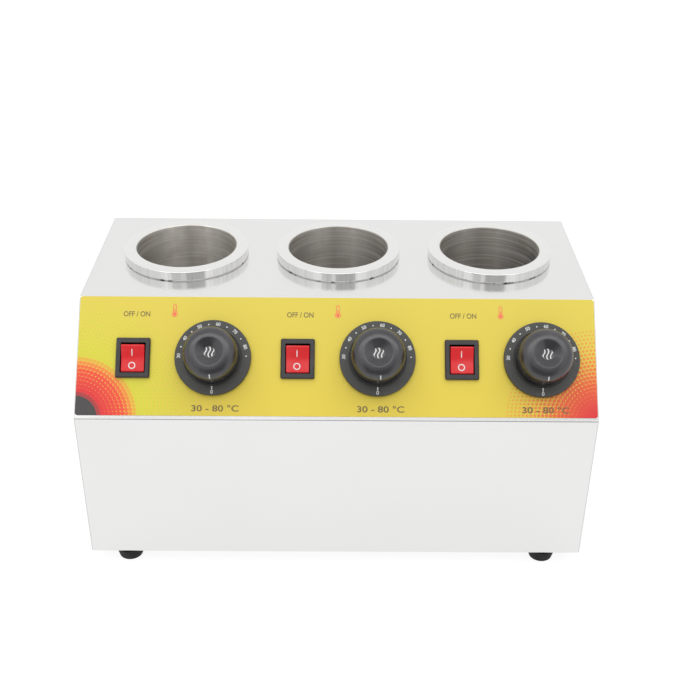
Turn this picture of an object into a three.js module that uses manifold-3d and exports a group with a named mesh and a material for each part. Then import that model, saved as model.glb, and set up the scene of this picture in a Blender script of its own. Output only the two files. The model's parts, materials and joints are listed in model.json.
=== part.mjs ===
// A counter-top sauce warmer: a folded steel casing with a sloping control panel and three
// heated wells, each with its own rocker switch and thermostat.
// Millimetres, +Z up, front facing -Y. The origin is on the bench, under the middle of the casing.

import * as THREE from 'three';
import { mergeVertices } from 'three/addons/utils/BufferGeometryUtils.js';
import Module from 'manifold-3d';

const wasm = await Module();
wasm.setup();

// Casing of folded steel sheet
const casingWidth = 400;
const casingDepth = 214;
const casingHeight = 202.8;
const frontHeight = 130.4;
const topDepth = 151;
const sheet = 1;
const foldRadius = 1.4;
const endEdgeRadius = 1;
const flangeWidth = 20;

// Base plate under the casing
const baseSheet = 1;
const baseInset = 2;
const baseCornerRadius = 3;
const baseScrewSpacing = 140;
const ventLength = 46;
const ventWidth = 3.2;
const ventPitch = 14;
const ventRows = 5;
const rearVentLength = 30;
const rearVentWidth = 3;
const rearVentPitch = 8;
const rearVentRows = 3;
const rearVentDrop = 42;

// Rubber feet
const footHeight = 10.5;
const footTopRadius = 12;
const footBottomRadius = 9.4;
const footRecessRadius = 5;
const footRecessDepth = 5;
const footSideInset = 29.4;
const footEdgeInset = 12.2;

// Screws for the feet and the base plate
const screwRadius = 2;
const screwHeadRadius = 4.1;
const screwHeadHeight = 2.4;
const screwHeadEdge = 0.9;
const screwSlotWidth = 1.1;
const screwSlotDepth = 0.9;
const screwReach = 5;
const screwClearance = 0.3;

// Heated wells
const wellFromFold = 76.3;
const wellRadius = 40.8;
const wellWall = 3;
const wellDepth = 155;
const wellFloor = 4;
const wellFloorFillet = 2;
const rimRadius = 51;
const rimHeight = 7.2;
const rimInnerEdge = 1.5;
const rimOuterEdge = 0.8;
const gasketHeight = 0.8;
const gasketInset = 0.6;
const clampRadius = 50;
const clampHeight = 8;

// Band heaters, with the sensor bulb held between the band and the well
const bandThickness = 1.8;
const bandHeight = 78;
const bandFloorGap = 12;
const bandSlit = 9;
const bandEarReach = 11;
const bandEarThickness = 2;
const bandBoltRadius = 2;
const bandBoltHeadRadius = 3.6;
const bandBoltHeadHeight = 2.5;
const bandTerminalRadius = 2.2;
const bandTerminalLength = 9;
const bandTerminalDegrees = 34;
const bulbRadius = 3;
const bulbLength = 66;
const capillaryRadius = 1;
const capillaryRise = 24;

// Printed overlay, held on the slope by its adhesive
const overlaySideInset = 1;
const overlayTopInset = 1;
const overlayBottomInset = 2.9;
const overlayThickness = 0.4;
const overlayCornerRadius = 2;
const adhesive = 0.2;

// Rocker switches
const switchOffset = -30.4;
const switchDrop = 0.8;
const bezelWidth = 26;
const bezelLength = 31;
const bezelHeight = 2.2;
const bezelEdge = 0.8;
const bezelCornerRadius = 1.2;
const rockerMouthWidth = 19.2;
const rockerMouthLength = 23.4;
const switchBodyWidth = 21.6;
const switchBodyLength = 27.6;
const switchBodyDepth = 22;
const rockerPivotDepth = 4.6;
const rockerThrow = 18;
const rockerRecess = 0.6;
const rockerEdge = 1.1;
const rockerKeel = 3.2;
const rockerKeelLength = 12;
const rockerPinRadius = 1.2;
const rockerPinLength = 0.9;
const bladeWidth = 6.3;
const bladeThickness = 0.8;
const bladeLength = 8;
const bladeSpacingX = 8;
const bladeSpacingY = 13;

// Dial rings and knobs
const knobOffset = 30.8;
const knobDrop = 0.5;
const dialRadius = 29.2;
const dialHeight = 4;
const dialEdge = 0.9;
const dialBore = 9;
const dialRecessRadius = 22;
const dialRecessDepth = 1.2;
const knobGap = 0.6;
const knobBaseRadius = 20.7;
const knobCrownRadius = 20.2;
const knobHeight = 25;
const knobShoulder = 8.5;
const knobBaseEdge = 0.8;
const knobDishRadius = 9.8;
const knobDishDepth = 3.4;
const knobDishFlatRadius = 4.5;
const knobLip = 0.8;
const knobBoreDepth = 17;

// Thermostats behind the slope
const shaftRadius = 3;
const shaftFlat = 1.5;
const shaftInBush = 14;
const bushRadius = 5;
const bushHeight = 3.6;
const thermostatWidth = 40;
const thermostatLength = 36;
const thermostatDepth = 26;
const thermostatPlateWidth = 48;
const thermostatPlateThickness = 1.5;
const thermostatBladeSpacing = 20;

// Cord gland in the back wall
const glandFromSide = 62;
const glandFromBottom = 34;
const glandNeckRadius = 8;
const glandNeckLength = 11;
const glandFlangeRadius = 11.5;
const glandFlangeHeight = 2;
const glandStubRadius = 7.4;
const glandStubHeight = 2.6;
const glandBore = 6;
const glandCapRadius = 10.2;
const glandCapHeight = 4.4;
const glandCapTop = 1.4;
const glandMouth = 4.6;
const sealBore = 4.2;
const sealLength = 8;
const lockNutRadius = 12;
const lockNutHeight = 4;

// Earth stud in the back wall
const earthFromSide = 98;
const earthRadius = 2.5;
const earthHeadRadius = 4.7;
const earthHeadHeight = 3;
const earthLength = 14;
const earthNutRadius = 4.6;
const earthNutHeight = 4;

// Terminal block on the base plate
const blockLength = 46;
const blockWidth = 22;
const blockHeight = 17;
const blockStepHeight = 9;
const blockStepWidth = 6;
const blockWires = 3;
const blockWireRadius = 2.2;

// Wiring loom
const loomRadius = 4;
const wireRadius = 1.6;
const loomFromFront = 17;
const loomOverhang = 4;
const wireRise = 40;
const wireLead = 12;

// Clearances, and the overrun of the shapes that only cut
const fit = 0.3;
const seat = 0.3;
const overrun = 1;

// Shares of the sizes that they follow
const roundEndShare = 0.48;
const tailShare = 0.7;
const wellPitchShare = 0.315;
const shoulderShares = [0, 0.25, 0.5, 0.75, 1];

// How round the turned and bent pieces are
const wellSides = 32;
const knobSides = 28;
const smallSides = 10;
const screwSides = 8;
const footSides = 20;
const hexSides = 6;
const tubeSides = 5;
const wireSteps = 8;
const capillarySteps = 12;
const arcSteps = 3;
const bevelSteps = 2;

// Places worked out from the sizes above
const casingBottom = footHeight + baseSheet;
const casingTop = casingBottom + casingHeight;
const frontY = -casingDepth / 2;
const backY = casingDepth / 2;
const foldY = backY - topDepth;
const breakZ = casingBottom + frontHeight;
const slopeRun = foldY - frontY;
const slopeRise = casingTop - breakZ;
const slopeLength = Math.hypot(slopeRun, slopeRise);
const slopeAngle = Math.atan2(slopeRise, slopeRun);
const wellY = foldY + wellFromFold;
const wellPitch = casingWidth * wellPitchShare;
const cupRadius = wellRadius + wellWall;
const rimTop = casingTop + gasketHeight + rimHeight;
const wellFloorZ = rimTop - wellDepth;
const bandBottom = wellFloorZ - wellFloor + bandFloorGap;
const bandInner = cupRadius + fit;
const bulbDistance = bandInner + bulbRadius;
const bulbTop = bandBottom + bandHeight + capillaryRadius;
const overlayTop = adhesive + overlayThickness;
const bezelBottom = overlayTop + seat;
const bezelTop = bezelBottom + bezelHeight;
const dialBottom = overlayTop + seat;
const dialTop = dialBottom + dialHeight;
const knobBottom = dialTop + knobGap;
const knobTop = knobBottom + knobHeight;
const rockerTilt = THREE.MathUtils.degToRad(rockerThrow / 2);
const bandTerminalAngle = THREE.MathUtils.degToRad(bandTerminalDegrees);
const screwHole = screwRadius + screwClearance;

const stations = [
  { name: 'left', x: -wellPitch },
  { name: 'middle', x: 0 },
  { name: 'right', x: wellPitch },
];

// Materials
const polishedSteel = { color: 0xdcdcda, roughness: 0.16, metalness: 1 };
const machinedAluminium = { color: 0xc9c8c4, roughness: 0.3, metalness: 1 };
const zincSteel = { color: 0xb4b6b8, roughness: 0.4, metalness: 1 };
const micaSteel = { color: 0x9a9c9c, roughness: 0.45, metalness: 0.9 };
const copper = { color: 0xb87345, roughness: 0.35, metalness: 1 };
const blackRubber = { color: 0x161616, roughness: 0.85, metalness: 0 };
const greySilicone = { color: 0x3a3a3a, roughness: 0.7, metalness: 0 };
const blackPlastic = { color: 0x242425, roughness: 0.45, metalness: 0 };
const phenolic = { color: 0x3a393b, roughness: 0.38, metalness: 0 };
const redPlastic = { color: 0xc81f26, roughness: 0.25, metalness: 0 };
const yellowPrint = { color: 0xe2cb52, roughness: 0.42, metalness: 0 };
const creamPlastic = { color: 0xe6dfc8, roughness: 0.5, metalness: 0 };
const wireSheath = { color: 0x2b2b2e, roughness: 0.7, metalness: 0 };

// A closed geometry as a solid that can be joined and cut
function solid(geometry) {
  const bare = geometry.clone();
  bare.deleteAttribute('normal');
  bare.deleteAttribute('uv');
  const merged = mergeVertices(bare);
  const corners = merged.index.array;
  const kept = [];
  for (let i = 0; i < corners.length; i += 3) {
    const [a, b, c] = corners.slice(i, i + 3);
    if (a !== b && b !== c && c !== a) {
      kept.push(a, b, c);
    }
  }
  return new wasm.Manifold(new wasm.Mesh({
    numProp: 3,
    vertProperties: Float32Array.from(merged.attributes.position.array),
    triVerts: Uint32Array.from(kept),
  }));
}

function meshed(body) {
  const { vertProperties, triVerts } = body.getMesh();
  const geometry = new THREE.BufferGeometry();
  geometry.setAttribute('position', new THREE.BufferAttribute(vertProperties, 3));
  geometry.setIndex(new THREE.BufferAttribute(triVerts, 1));
  geometry.computeVertexNormals();
  return geometry;
}

function join(...geometries) {
  return meshed(geometries.map(solid).reduce((whole, next) => whole.add(next)));
}

function cut(geometry, ...tools) {
  return meshed(tools.map(solid).reduce((whole, tool) => whole.subtract(tool), solid(geometry)));
}

function common(geometry, other) {
  return meshed(solid(geometry).intersect(solid(other)));
}

// A box between two corners
function block([x0, x1], [y0, y1], [z0, z1]) {
  return new THREE.BoxGeometry(x1 - x0, y1 - y0, z1 - z0)
    .translate((x0 + x1) / 2, (y0 + y1) / 2, (z0 + z1) / 2);
}

function centred(length) {
  return [-length / 2, length / 2];
}

// A turned piece about Z; the profile is [radius, height] points, anticlockwise
function turned(profile, sides) {
  const points = profile.map(([r, z]) => new THREE.Vector2(r, z));
  return new THREE.LatheGeometry(points, sides).rotateX(Math.PI / 2);
}

function rod(radius, bottom, top, sides) {
  return turned([[0, bottom], [radius, bottom], [radius, top], [0, top]], sides);
}

function tube(inner, outer, bottom, top, sides) {
  return turned([[inner, bottom], [outer, bottom], [outer, top], [inner, top], [inner, bottom]], sides);
}

// A rod along X, centred on the YZ plane
function crossRod(radius, length, sides) {
  return rod(radius, ...centred(length), sides).rotateY(Math.PI / 2);
}

// Moves each side of an anticlockwise polygon with no hollow corners inwards
function insetPolygon(points, distance) {
  const count = points.length;
  const sides = points.map((point, i) => {
    const along = points[(i + 1) % count].clone().sub(point).normalize();
    const inward = new THREE.Vector2(-along.y, along.x);
    return { start: point.clone().addScaledVector(inward, distance), along };
  });
  return sides.map((side, i) => {
    const before = sides[(i + count - 1) % count];
    const between = side.start.clone().sub(before.start);
    const reach = between.cross(side.along) / before.along.cross(side.along);
    return before.start.clone().addScaledVector(before.along, reach);
  });
}

// An anticlockwise polygon with every corner rounded
function roundedShape(points, radius) {
  const shape = new THREE.Shape();
  const count = points.length;
  points.forEach((corner, i) => {
    const before = points[(i + count - 1) % count].clone().sub(corner).normalize();
    const after = points[(i + 1) % count].clone().sub(corner).normalize();
    const halfAngle = Math.acos(before.dot(after)) / 2;
    const middle = before.clone().add(after).normalize()
      .multiplyScalar(radius / Math.sin(halfAngle)).add(corner);
    const start = Math.atan2(before.x, -before.y);
    const end = Math.atan2(-after.x, after.y);
    shape.absarc(middle.x, middle.y, radius, start, end, false);
  });
  shape.closePath();
  return shape;
}

function rectanglePoints(width, length) {
  return [[-1, -1], [1, -1], [1, 1], [-1, 1]]
    .map(([x, y]) => new THREE.Vector2(x * width / 2, y * length / 2));
}

// A flat plate with rounded corners, from one height to another
function plate(width, length, radius, bottom, top) {
  return new THREE.ExtrudeGeometry(roundedShape(rectanglePoints(width, length), radius), {
    depth: top - bottom, bevelEnabled: false, curveSegments: bevelSteps,
  }).translate(0, 0, bottom);
}

// A round-ended slot along X
function slot(length, width, bottom, top) {
  return plate(length, width, width * roundEndShare, bottom, top);
}

// Turns a shape drawn in Y and Z, and extruded along its third axis, to lie along X
const alongX = new THREE.Matrix4().makeBasis(
  new THREE.Vector3(0, 1, 0), new THREE.Vector3(0, 0, 1), new THREE.Vector3(1, 0, 0));

// A round tube along a smooth curve through some points
function bentTube(points, radius, steps) {
  const section = new THREE.Shape(Array.from({ length: tubeSides }, (_, i) => {
    const angle = 2 * Math.PI * i / tubeSides;
    return new THREE.Vector2(Math.cos(angle), Math.sin(angle)).multiplyScalar(radius);
  }));
  return new THREE.ExtrudeGeometry(section, {
    steps, bevelEnabled: false, extrudePath: new THREE.CatmullRomCurve3(points),
  });
}

// The sloping panel: X to the right, Y up the slope, Z out of it, from its middle
const slope = new THREE.Group();
slope.rotation.x = slopeAngle;
slope.position.set(0, (frontY + foldY) / 2, (breakZ + casingTop) / 2);
slope.updateMatrix();

function onSlope(x, up, out) {
  return new THREE.Vector3(x, up, out).applyMatrix4(slope.matrix);
}

const slopeInward = new THREE.Vector3(0, 0, -1).transformDirection(slope.matrix);

const warmer = new THREE.Group();

function add(parent, name, geometry, finish) {
  const mesh = new THREE.Mesh(geometry, new THREE.MeshStandardMaterial(finish));
  mesh.name = name;
  parent.add(mesh);
  return mesh;
}

// Casing

function casingSection(inset) {
  const corners = [
    [frontY, casingBottom], [backY, casingBottom], [backY, casingTop], [foldY, casingTop], [frontY, breakZ],
  ].map(([y, z]) => new THREE.Vector2(y, z));
  return roundedShape(insetPolygon(corners, inset), foldRadius - inset);
}

function footPlaces() {
  const x = casingWidth / 2 - footSideInset;
  const y = casingDepth / 2 - footEdgeInset;
  return [
    { name: 'front_left', x: -x, y: -y },
    { name: 'front_right', x, y: -y },
    { name: 'rear_left', x: -x, y },
    { name: 'rear_right', x, y },
  ];
}

function baseScrewPlaces() {
  const x = baseScrewSpacing / 2;
  const y = casingDepth / 2 - flangeWidth / 2;
  return [
    { name: 'front_left', x: -x, y: -y },
    { name: 'front_right', x, y: -y },
    { name: 'rear_left', x: -x, y },
    { name: 'rear_right', x, y },
  ];
}

function casingGeometry() {
  const outer = new THREE.ExtrudeGeometry(casingSection(0), {
    depth: casingWidth - 2 * endEdgeRadius,
    bevelThickness: endEdgeRadius,
    bevelSize: endEdgeRadius,
    bevelOffset: -endEdgeRadius,
    bevelSegments: bevelSteps,
    curveSegments: arcSteps,
  }).translate(0, 0, endEdgeRadius - casingWidth / 2).applyMatrix4(alongX);
  const inner = new THREE.ExtrudeGeometry(casingSection(sheet), {
    depth: casingWidth - 2 * sheet, bevelEnabled: false, curveSegments: arcSteps,
  }).translate(0, 0, sheet - casingWidth / 2).applyMatrix4(alongX);
  const underside = block(
    centred(casingWidth - 2 * flangeWidth), centred(casingDepth - 2 * flangeWidth),
    [casingBottom - overrun, casingBottom + sheet + overrun]);
  const screwHoles = [...footPlaces(), ...baseScrewPlaces()].map(({ x, y }) =>
    rod(screwHole, casingBottom - overrun, casingBottom + sheet + overrun, screwSides).translate(x, y, 0));
  const wellHoles = stations.map(({ x }) =>
    rod(cupRadius + fit, casingTop - sheet - overrun, casingTop + overrun, wellSides)
      .translate(x, wellY, 0));
  const panelHoles = stations.flatMap(({ x }) => [
    block(centred(switchBodyWidth + 2 * fit), centred(switchBodyLength + 2 * fit),
      [-sheet - overrun, overrun]).translate(x + switchOffset, -switchDrop, 0),
    rod(bushRadius + fit, -sheet - overrun, overrun, smallSides).translate(x + knobOffset, -knobDrop, 0),
  ]).map((hole) => hole.applyMatrix4(slope.matrix));
  return cut(outer, inner, underside, ...screwHoles, ...wellHoles, ...panelHoles, ...rearHoles());
}

// Places in the back wall, seen from behind
const glandPlace = [casingWidth / 2 - glandFromSide, casingBottom + glandFromBottom];
const earthPlace = [casingWidth / 2 - earthFromSide, casingBottom + glandFromBottom];

function onBackWall(geometry, [x, z]) {
  return geometry.rotateX(-Math.PI / 2).translate(x, backY, z);
}

function rearHoles() {
  const vents = stations.flatMap(({ x }) => Array.from({ length: rearVentRows }, (_, row) =>
    onBackWall(slot(rearVentLength, rearVentWidth, -sheet - overrun, overrun),
      [x, casingTop - rearVentDrop - row * rearVentPitch])));
  return [
    ...vents,
    onBackWall(rod(glandNeckRadius + fit, -sheet - overrun, overrun, smallSides), glandPlace),
    onBackWall(rod(earthRadius + fit, -sheet - overrun, overrun, smallSides), earthPlace),
  ];
}

add(warmer, 'casing', casingGeometry(), polishedSteel);

// Base plate, feet and screws

function basePlateGeometry() {
  const bottom = footHeight - overrun;
  const top = casingBottom + overrun;
  const vents = stations.flatMap(({ x }) => Array.from({ length: ventRows }, (_, row) =>
    slot(ventLength, ventWidth, bottom, top).translate(x, (row - (ventRows - 1) / 2) * ventPitch, 0)));
  const screwHoles = [...footPlaces(), ...baseScrewPlaces()].map(({ x, y }) =>
    rod(screwHole, bottom, top, screwSides).translate(x, y, 0));
  return cut(
    plate(casingWidth - 2 * baseInset, casingDepth - 2 * baseInset, baseCornerRadius,
      footHeight, casingBottom),
    ...vents, ...screwHoles);
}

function footGeometry() {
  return turned([
    [screwHole, footRecessDepth], [footRecessRadius, footRecessDepth], [footRecessRadius, 0],
    [footBottomRadius, 0], [footTopRadius, footHeight], [screwHole, footHeight],
    [screwHole, footRecessDepth],
  ], footSides);
}

// A pan-head screw pointing up, with its head under the given height
function screwGeometry(under, length) {
  const bottom = under - screwHeadHeight;
  const slotCut = block(centred(2 * screwHeadRadius + 2 * overrun), centred(screwSlotWidth),
    [bottom - overrun, bottom + screwSlotDepth]);
  return cut(turned([
    [0, bottom], [screwHeadRadius - screwHeadEdge, bottom], [screwHeadRadius, bottom + screwHeadEdge],
    [screwHeadRadius, under], [screwRadius, under], [screwRadius, under + length], [0, under + length],
  ], screwSides), slotCut);
}

add(warmer, 'base_plate', basePlateGeometry(), zincSteel);
for (const { name, x, y } of footPlaces()) {
  add(warmer, `foot_${name}`, footGeometry(), blackRubber).position.set(x, y, 0);
  const length = footHeight - footRecessDepth + baseSheet + sheet + screwReach;
  add(warmer, `foot_screw_${name}`, screwGeometry(footRecessDepth, length), zincSteel)
    .position.set(x, y, 0);
}
for (const { name, x, y } of baseScrewPlaces()) {
  add(warmer, `base_screw_${name}`, screwGeometry(footHeight, baseSheet + sheet + screwReach), zincSteel)
    .position.set(x, y, 0);
}

// Wells, with their gaskets, clamp rings and band heaters

function wellGeometry() {
  const under = rimTop - rimHeight;
  const cupBottom = wellFloorZ - wellFloor;
  return turned([
    [0, cupBottom], [cupRadius - wellFloor, cupBottom], [cupRadius, wellFloorZ], [cupRadius, under],
    [rimRadius, under], [rimRadius, rimTop - rimOuterEdge], [rimRadius - rimOuterEdge, rimTop],
    [wellRadius + rimInnerEdge, rimTop], [wellRadius, rimTop - rimInnerEdge],
    [wellRadius, wellFloorZ + wellFloorFillet], [wellRadius - wellFloorFillet, wellFloorZ],
    [0, wellFloorZ],
  ], wellSides);
}

// The band is one piece: a split sleeve with a ridge over the bulb in front, and ears, a bolt
// and two terminals at the back
function bandGeometry() {
  const top = bandBottom + bandHeight;
  const bandOuter = bandInner + bandThickness;
  const ridge = rod(bulbRadius + fit + bandThickness, bandBottom, top, smallSides)
    .translate(0, -bulbDistance, 0);
  const sleeve = join(rod(bandOuter, bandBottom, top, wellSides), ridge);
  const bulbBore = rod(bulbRadius + fit, bandBottom - overrun, top + overrun, smallSides)
    .translate(0, -bulbDistance, 0);
  const slit = block(centred(bandSlit), [0, bandOuter + overrun], [bandBottom - overrun, top + overrun]);
  const split = cut(sleeve,
    rod(bandInner, bandBottom - overrun, top + overrun, wellSides), bulbBore, slit);
  const ears = [-1, 1].map((side) =>
    block(centred(bandEarThickness), [bandInner, bandOuter + bandEarReach], [bandBottom, top])
      .translate(side * (bandSlit + bandEarThickness) / 2, 0, 0));
  const boltY = bandOuter + bandEarReach / 2;
  const boltZ = (bandBottom + top) / 2;
  const boltLength = bandSlit + 2 * bandEarThickness + 2 * bandBoltHeadHeight;
  const bolt = crossRod(bandBoltRadius, boltLength, smallSides).translate(0, boltY, boltZ);
  const heads = [-1, 1].map((side) => crossRod(bandBoltHeadRadius, bandBoltHeadHeight, hexSides)
    .translate(side * (boltLength - bandBoltHeadHeight) / 2, boltY, boltZ));
  const terminals = [-1, 1].map((side) =>
    rod(bandTerminalRadius, 0, bandTerminalLength + bandThickness, hexSides)
      .rotateX(-Math.PI / 2).translate(0, bandInner, boltZ).rotateZ(side * bandTerminalAngle));
  return join(split, ...ears, bolt, ...heads, ...terminals);
}

stations.forEach(({ name, x }) => {
  const under = casingTop - sheet;
  const pieces = [
    [`well_${name}`, wellGeometry(), machinedAluminium],
    [`well_gasket_${name}`,
      tube(cupRadius + fit, rimRadius - gasketInset, casingTop, casingTop + gasketHeight, wellSides),
      greySilicone],
    [`well_clamp_${name}`,
      tube(cupRadius + fit, clampRadius, under - clampHeight, under, wellSides), zincSteel],
    [`heater_band_${name}`, bandGeometry(), micaSteel],
  ];
  pieces.forEach(([piece, geometry, finish]) => {
    add(warmer, piece, geometry, finish).position.set(x, wellY, 0);
  });
});

// Overlay

function overlayGeometry() {
  const switchHoles = stations.map(({ x }) =>
    block(centred(switchBodyWidth + 2 * fit), centred(switchBodyLength + 2 * fit),
      [0, overlayTop + overrun]).translate(x + switchOffset, -switchDrop, 0));
  const bushHoles = stations.map(({ x }) =>
    rod(bushRadius + fit, 0, overlayTop + overrun, smallSides).translate(x + knobOffset, -knobDrop, 0));
  const length = slopeLength - overlayTopInset - overlayBottomInset;
  const film = plate(casingWidth - 2 * overlaySideInset, length, overlayCornerRadius, adhesive, overlayTop);
  return cut(
    film.translate(0, (overlayBottomInset - overlayTopInset) / 2, 0), ...switchHoles, ...bushHoles);
}

add(slope, 'control_overlay', overlayGeometry(), yellowPrint);

// Rocker switches: the frame holds the rocker on two pins in its side walls

const rockerPivotZ = bezelTop - rockerPivotDepth;
const rockerPinHole = rockerPinRadius + fit;
const rockerWidth = rockerMouthWidth - 2 * fit;
// Height of the valley over the pivot, so that the pressed half lies level, just under the bezel
const rockerValley = (rockerPivotDepth - rockerRecess) / Math.cos(rockerTilt);
// Half length, so that the pressed end clears the mouth
const rockerHalf = (rockerMouthLength / 2 - fit - rockerValley * Math.sin(rockerTilt))
  / (Math.cos(rockerTilt) + Math.tan(rockerTilt) * Math.sin(rockerTilt));
const rockerSweep = rockerKeel * Math.cos(rockerTilt)
  + rockerKeelLength / 2 * Math.sin(rockerTilt) + fit;

function switchFrameGeometry() {
  const bezelShape = roundedShape(rectanglePoints(bezelWidth, bezelLength), bezelCornerRadius);
  const bezel = common(
    new THREE.ExtrudeGeometry(bezelShape, {
      depth: bezelHeight,
      bevelThickness: bezelEdge,
      bevelSize: bezelEdge,
      bevelOffset: -bezelEdge,
      bevelSegments: 1,
      curveSegments: bevelSteps,
    }).translate(0, 0, bezelTop - bezelHeight - bezelEdge),
    block(centred(bezelWidth), centred(bezelLength), [bezelBottom, bezelTop]));
  const bodyBack = -switchBodyDepth;
  const body = block(centred(switchBodyWidth), centred(switchBodyLength), [bodyBack, bezelTop - bezelEdge]);
  const blades = [-1, 1].flatMap((column) => [-1, 1].map((row) =>
    block(centred(bladeThickness), centred(bladeWidth), [bodyBack - bladeLength, bodyBack + overrun])
      .translate(column * bladeSpacingX / 2, row * bladeSpacingY / 2, 0)));
  const mouth = block(centred(rockerMouthWidth), centred(rockerMouthLength),
    [rockerPivotZ - rockerSweep, bezelTop + overrun]);
  const pinHole = crossRod(rockerPinHole, switchBodyWidth + 2 * overrun, smallSides)
    .translate(0, 0, rockerPivotZ);
  return cut(join(bezel, body, ...blades), mouth, pinHole);
}

// The rocker lies level here; half the throw turns it to OFF
function rockerGeometry() {
  const end = rockerValley + rockerHalf * Math.tan(rockerTilt);
  const keel = rockerKeelLength / 2;
  const profile = new THREE.Shape([
    [-keel, -rockerKeel], [keel, -rockerKeel], [rockerHalf, 0], [rockerHalf, end - rockerEdge],
    [rockerHalf - rockerEdge, end], [0, rockerValley], [rockerEdge - rockerHalf, end],
    [-rockerHalf, end - rockerEdge], [-rockerHalf, 0],
  ].map(([y, z]) => new THREE.Vector2(y, z)));
  const cap = new THREE.ExtrudeGeometry(profile, { depth: rockerWidth, bevelEnabled: false })
    .translate(0, 0, -rockerWidth / 2).applyMatrix4(alongX);
  return join(cap, crossRod(rockerPinRadius, rockerWidth + 2 * rockerPinLength, smallSides));
}

for (const { name, x } of stations) {
  const place = [x + switchOffset, -switchDrop];
  add(slope, `switch_frame_${name}`, switchFrameGeometry(), blackPlastic).position.set(...place, 0);
  const rocker = add(slope, `rocker_${name}`, rockerGeometry(), redPlastic);
  rocker.position.set(...place, rockerPivotZ);
  rocker.rotation.x = rockerTilt;
}

// Thermostats, shafts, dial rings and knobs

function shaftSection(radius, flat) {
  const half = Math.acos((radius - flat) / radius);
  const section = new THREE.Shape();
  section.absarc(0, 0, radius, half - Math.PI / 2, -half - Math.PI / 2, false);
  section.closePath();
  return section;
}

function shaftGeometry() {
  const bottom = -shaftInBush;
  const top = knobBottom + knobBoreDepth - seat;
  return new THREE.ExtrudeGeometry(shaftSection(shaftRadius, shaftFlat), {
    depth: top - bottom, bevelEnabled: false, curveSegments: smallSides,
  }).translate(0, 0, bottom);
}

function thermostatGeometry() {
  const front = -sheet - seat;
  const back = front - thermostatDepth;
  const body = block(centred(thermostatWidth), centred(thermostatLength), [back, front]);
  const ears = block(centred(thermostatPlateWidth), centred(thermostatLength / 2),
    [front - thermostatPlateThickness, front]);
  const bush = rod(bushRadius, front - overrun, bushHeight, smallSides);
  const blades = [-1, 1].map((side) =>
    block(centred(bladeWidth), centred(bladeThickness), [back - bladeLength, back + overrun])
      .translate(0, side * thermostatBladeSpacing / 2, 0));
  const bore = rod(shaftRadius + fit, -shaftInBush - seat, bushHeight + overrun, smallSides);
  return cut(join(body, ears, bush, ...blades), bore);
}

function dialGeometry() {
  return turned([
    [dialBore, dialBottom], [dialRadius, dialBottom], [dialRadius, dialTop - dialEdge],
    [dialRadius - dialEdge, dialTop], [dialRecessRadius, dialTop],
    [dialRecessRadius, dialTop - dialRecessDepth], [dialBore, dialTop - dialRecessDepth],
    [dialBore, dialBottom],
  ], knobSides);
}

function knobGeometry() {
  const shoulder = shoulderShares.map((share) => {
    const angle = share * Math.PI / 2;
    return [
      knobCrownRadius - knobShoulder + knobShoulder * Math.cos(angle),
      knobTop - knobShoulder + knobShoulder * Math.sin(angle),
    ];
  });
  const outside = turned([
    [0, knobBottom], [knobBaseRadius - knobBaseEdge, knobBottom],
    [knobBaseRadius, knobBottom + knobBaseEdge], ...shoulder,
    [knobDishRadius + knobLip, knobTop], [knobDishRadius, knobTop - knobLip / 2],
    [knobDishFlatRadius, knobTop - knobDishDepth], [0, knobTop - knobDishDepth],
  ], knobSides);
  const bore = new THREE.ExtrudeGeometry(shaftSection(shaftRadius + fit, shaftFlat), {
    depth: knobBoreDepth + overrun, bevelEnabled: false, curveSegments: smallSides,
  }).translate(0, 0, knobBottom - overrun);
  return cut(outside, bore);
}

for (const { name, x } of stations) {
  const place = [x + knobOffset, -knobDrop, 0];
  add(slope, `thermostat_${name}`, thermostatGeometry(), creamPlastic).position.set(...place);
  add(slope, `dial_ring_${name}`, dialGeometry(), blackPlastic).position.set(...place);
  add(slope, `thermostat_shaft_${name}`, shaftGeometry(), zincSteel).position.set(...place);
  add(slope, `knob_${name}`, knobGeometry(), phenolic).position.set(...place);
}

// Sensor bulb under the ridge of the band, with its capillary tube back to the thermostat

function bulbGeometry(x) {
  const bulbY = wellY - bulbDistance;
  const start = onSlope(x + knobOffset - thermostatWidth / 4, -knobDrop,
    -sheet - seat - thermostatDepth - seat);
  const lead = start.clone().addScaledVector(slopeInward, wireLead);
  const crest = new THREE.Vector3((lead.x + x) / 2, (lead.y + bulbY) / 2, bulbTop + capillaryRise);
  const capillary = bentTube([
    start, lead, crest,
    new THREE.Vector3(x, bulbY, bulbTop + capillaryRise / 2),
    new THREE.Vector3(x, bulbY, bulbTop - capillaryRadius),
  ], capillaryRadius, capillarySteps);
  const bulb = rod(bulbRadius, bulbTop - bulbLength, bulbTop, smallSides).translate(x, bulbY, 0);
  return join(bulb, capillary);
}

stations.forEach(({ name, x }) => {
  add(warmer, `sensor_bulb_${name}`, bulbGeometry(x), copper);
});

// Cord gland: a flanged body through the back wall, a seal inside it, a cap and a lock nut

function glandBodyGeometry() {
  const stubTop = glandFlangeHeight + glandStubHeight;
  return turned([
    [glandBore, -glandNeckLength], [glandNeckRadius, -glandNeckLength], [glandNeckRadius, 0],
    [glandFlangeRadius, 0], [glandFlangeRadius, glandFlangeHeight], [glandStubRadius, glandFlangeHeight],
    [glandStubRadius, stubTop], [glandBore, stubTop], [glandBore, -glandNeckLength],
  ], smallSides);
}

function glandCapGeometry() {
  const stubTop = glandFlangeHeight + glandStubHeight;
  const capTop = glandFlangeHeight + glandCapHeight;
  return turned([
    [glandStubRadius + fit, glandFlangeHeight], [glandCapRadius, glandFlangeHeight],
    [glandCapRadius, capTop - glandCapTop], [glandStubRadius, capTop], [glandMouth, capTop],
    [glandMouth, stubTop + fit], [glandStubRadius + fit, stubTop + fit],
    [glandStubRadius + fit, glandFlangeHeight],
  ], smallSides);
}

function glandSealGeometry() {
  const top = glandFlangeHeight + glandStubHeight;
  return tube(sealBore, glandBore - fit, top - sealLength, top, smallSides);
}

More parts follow.
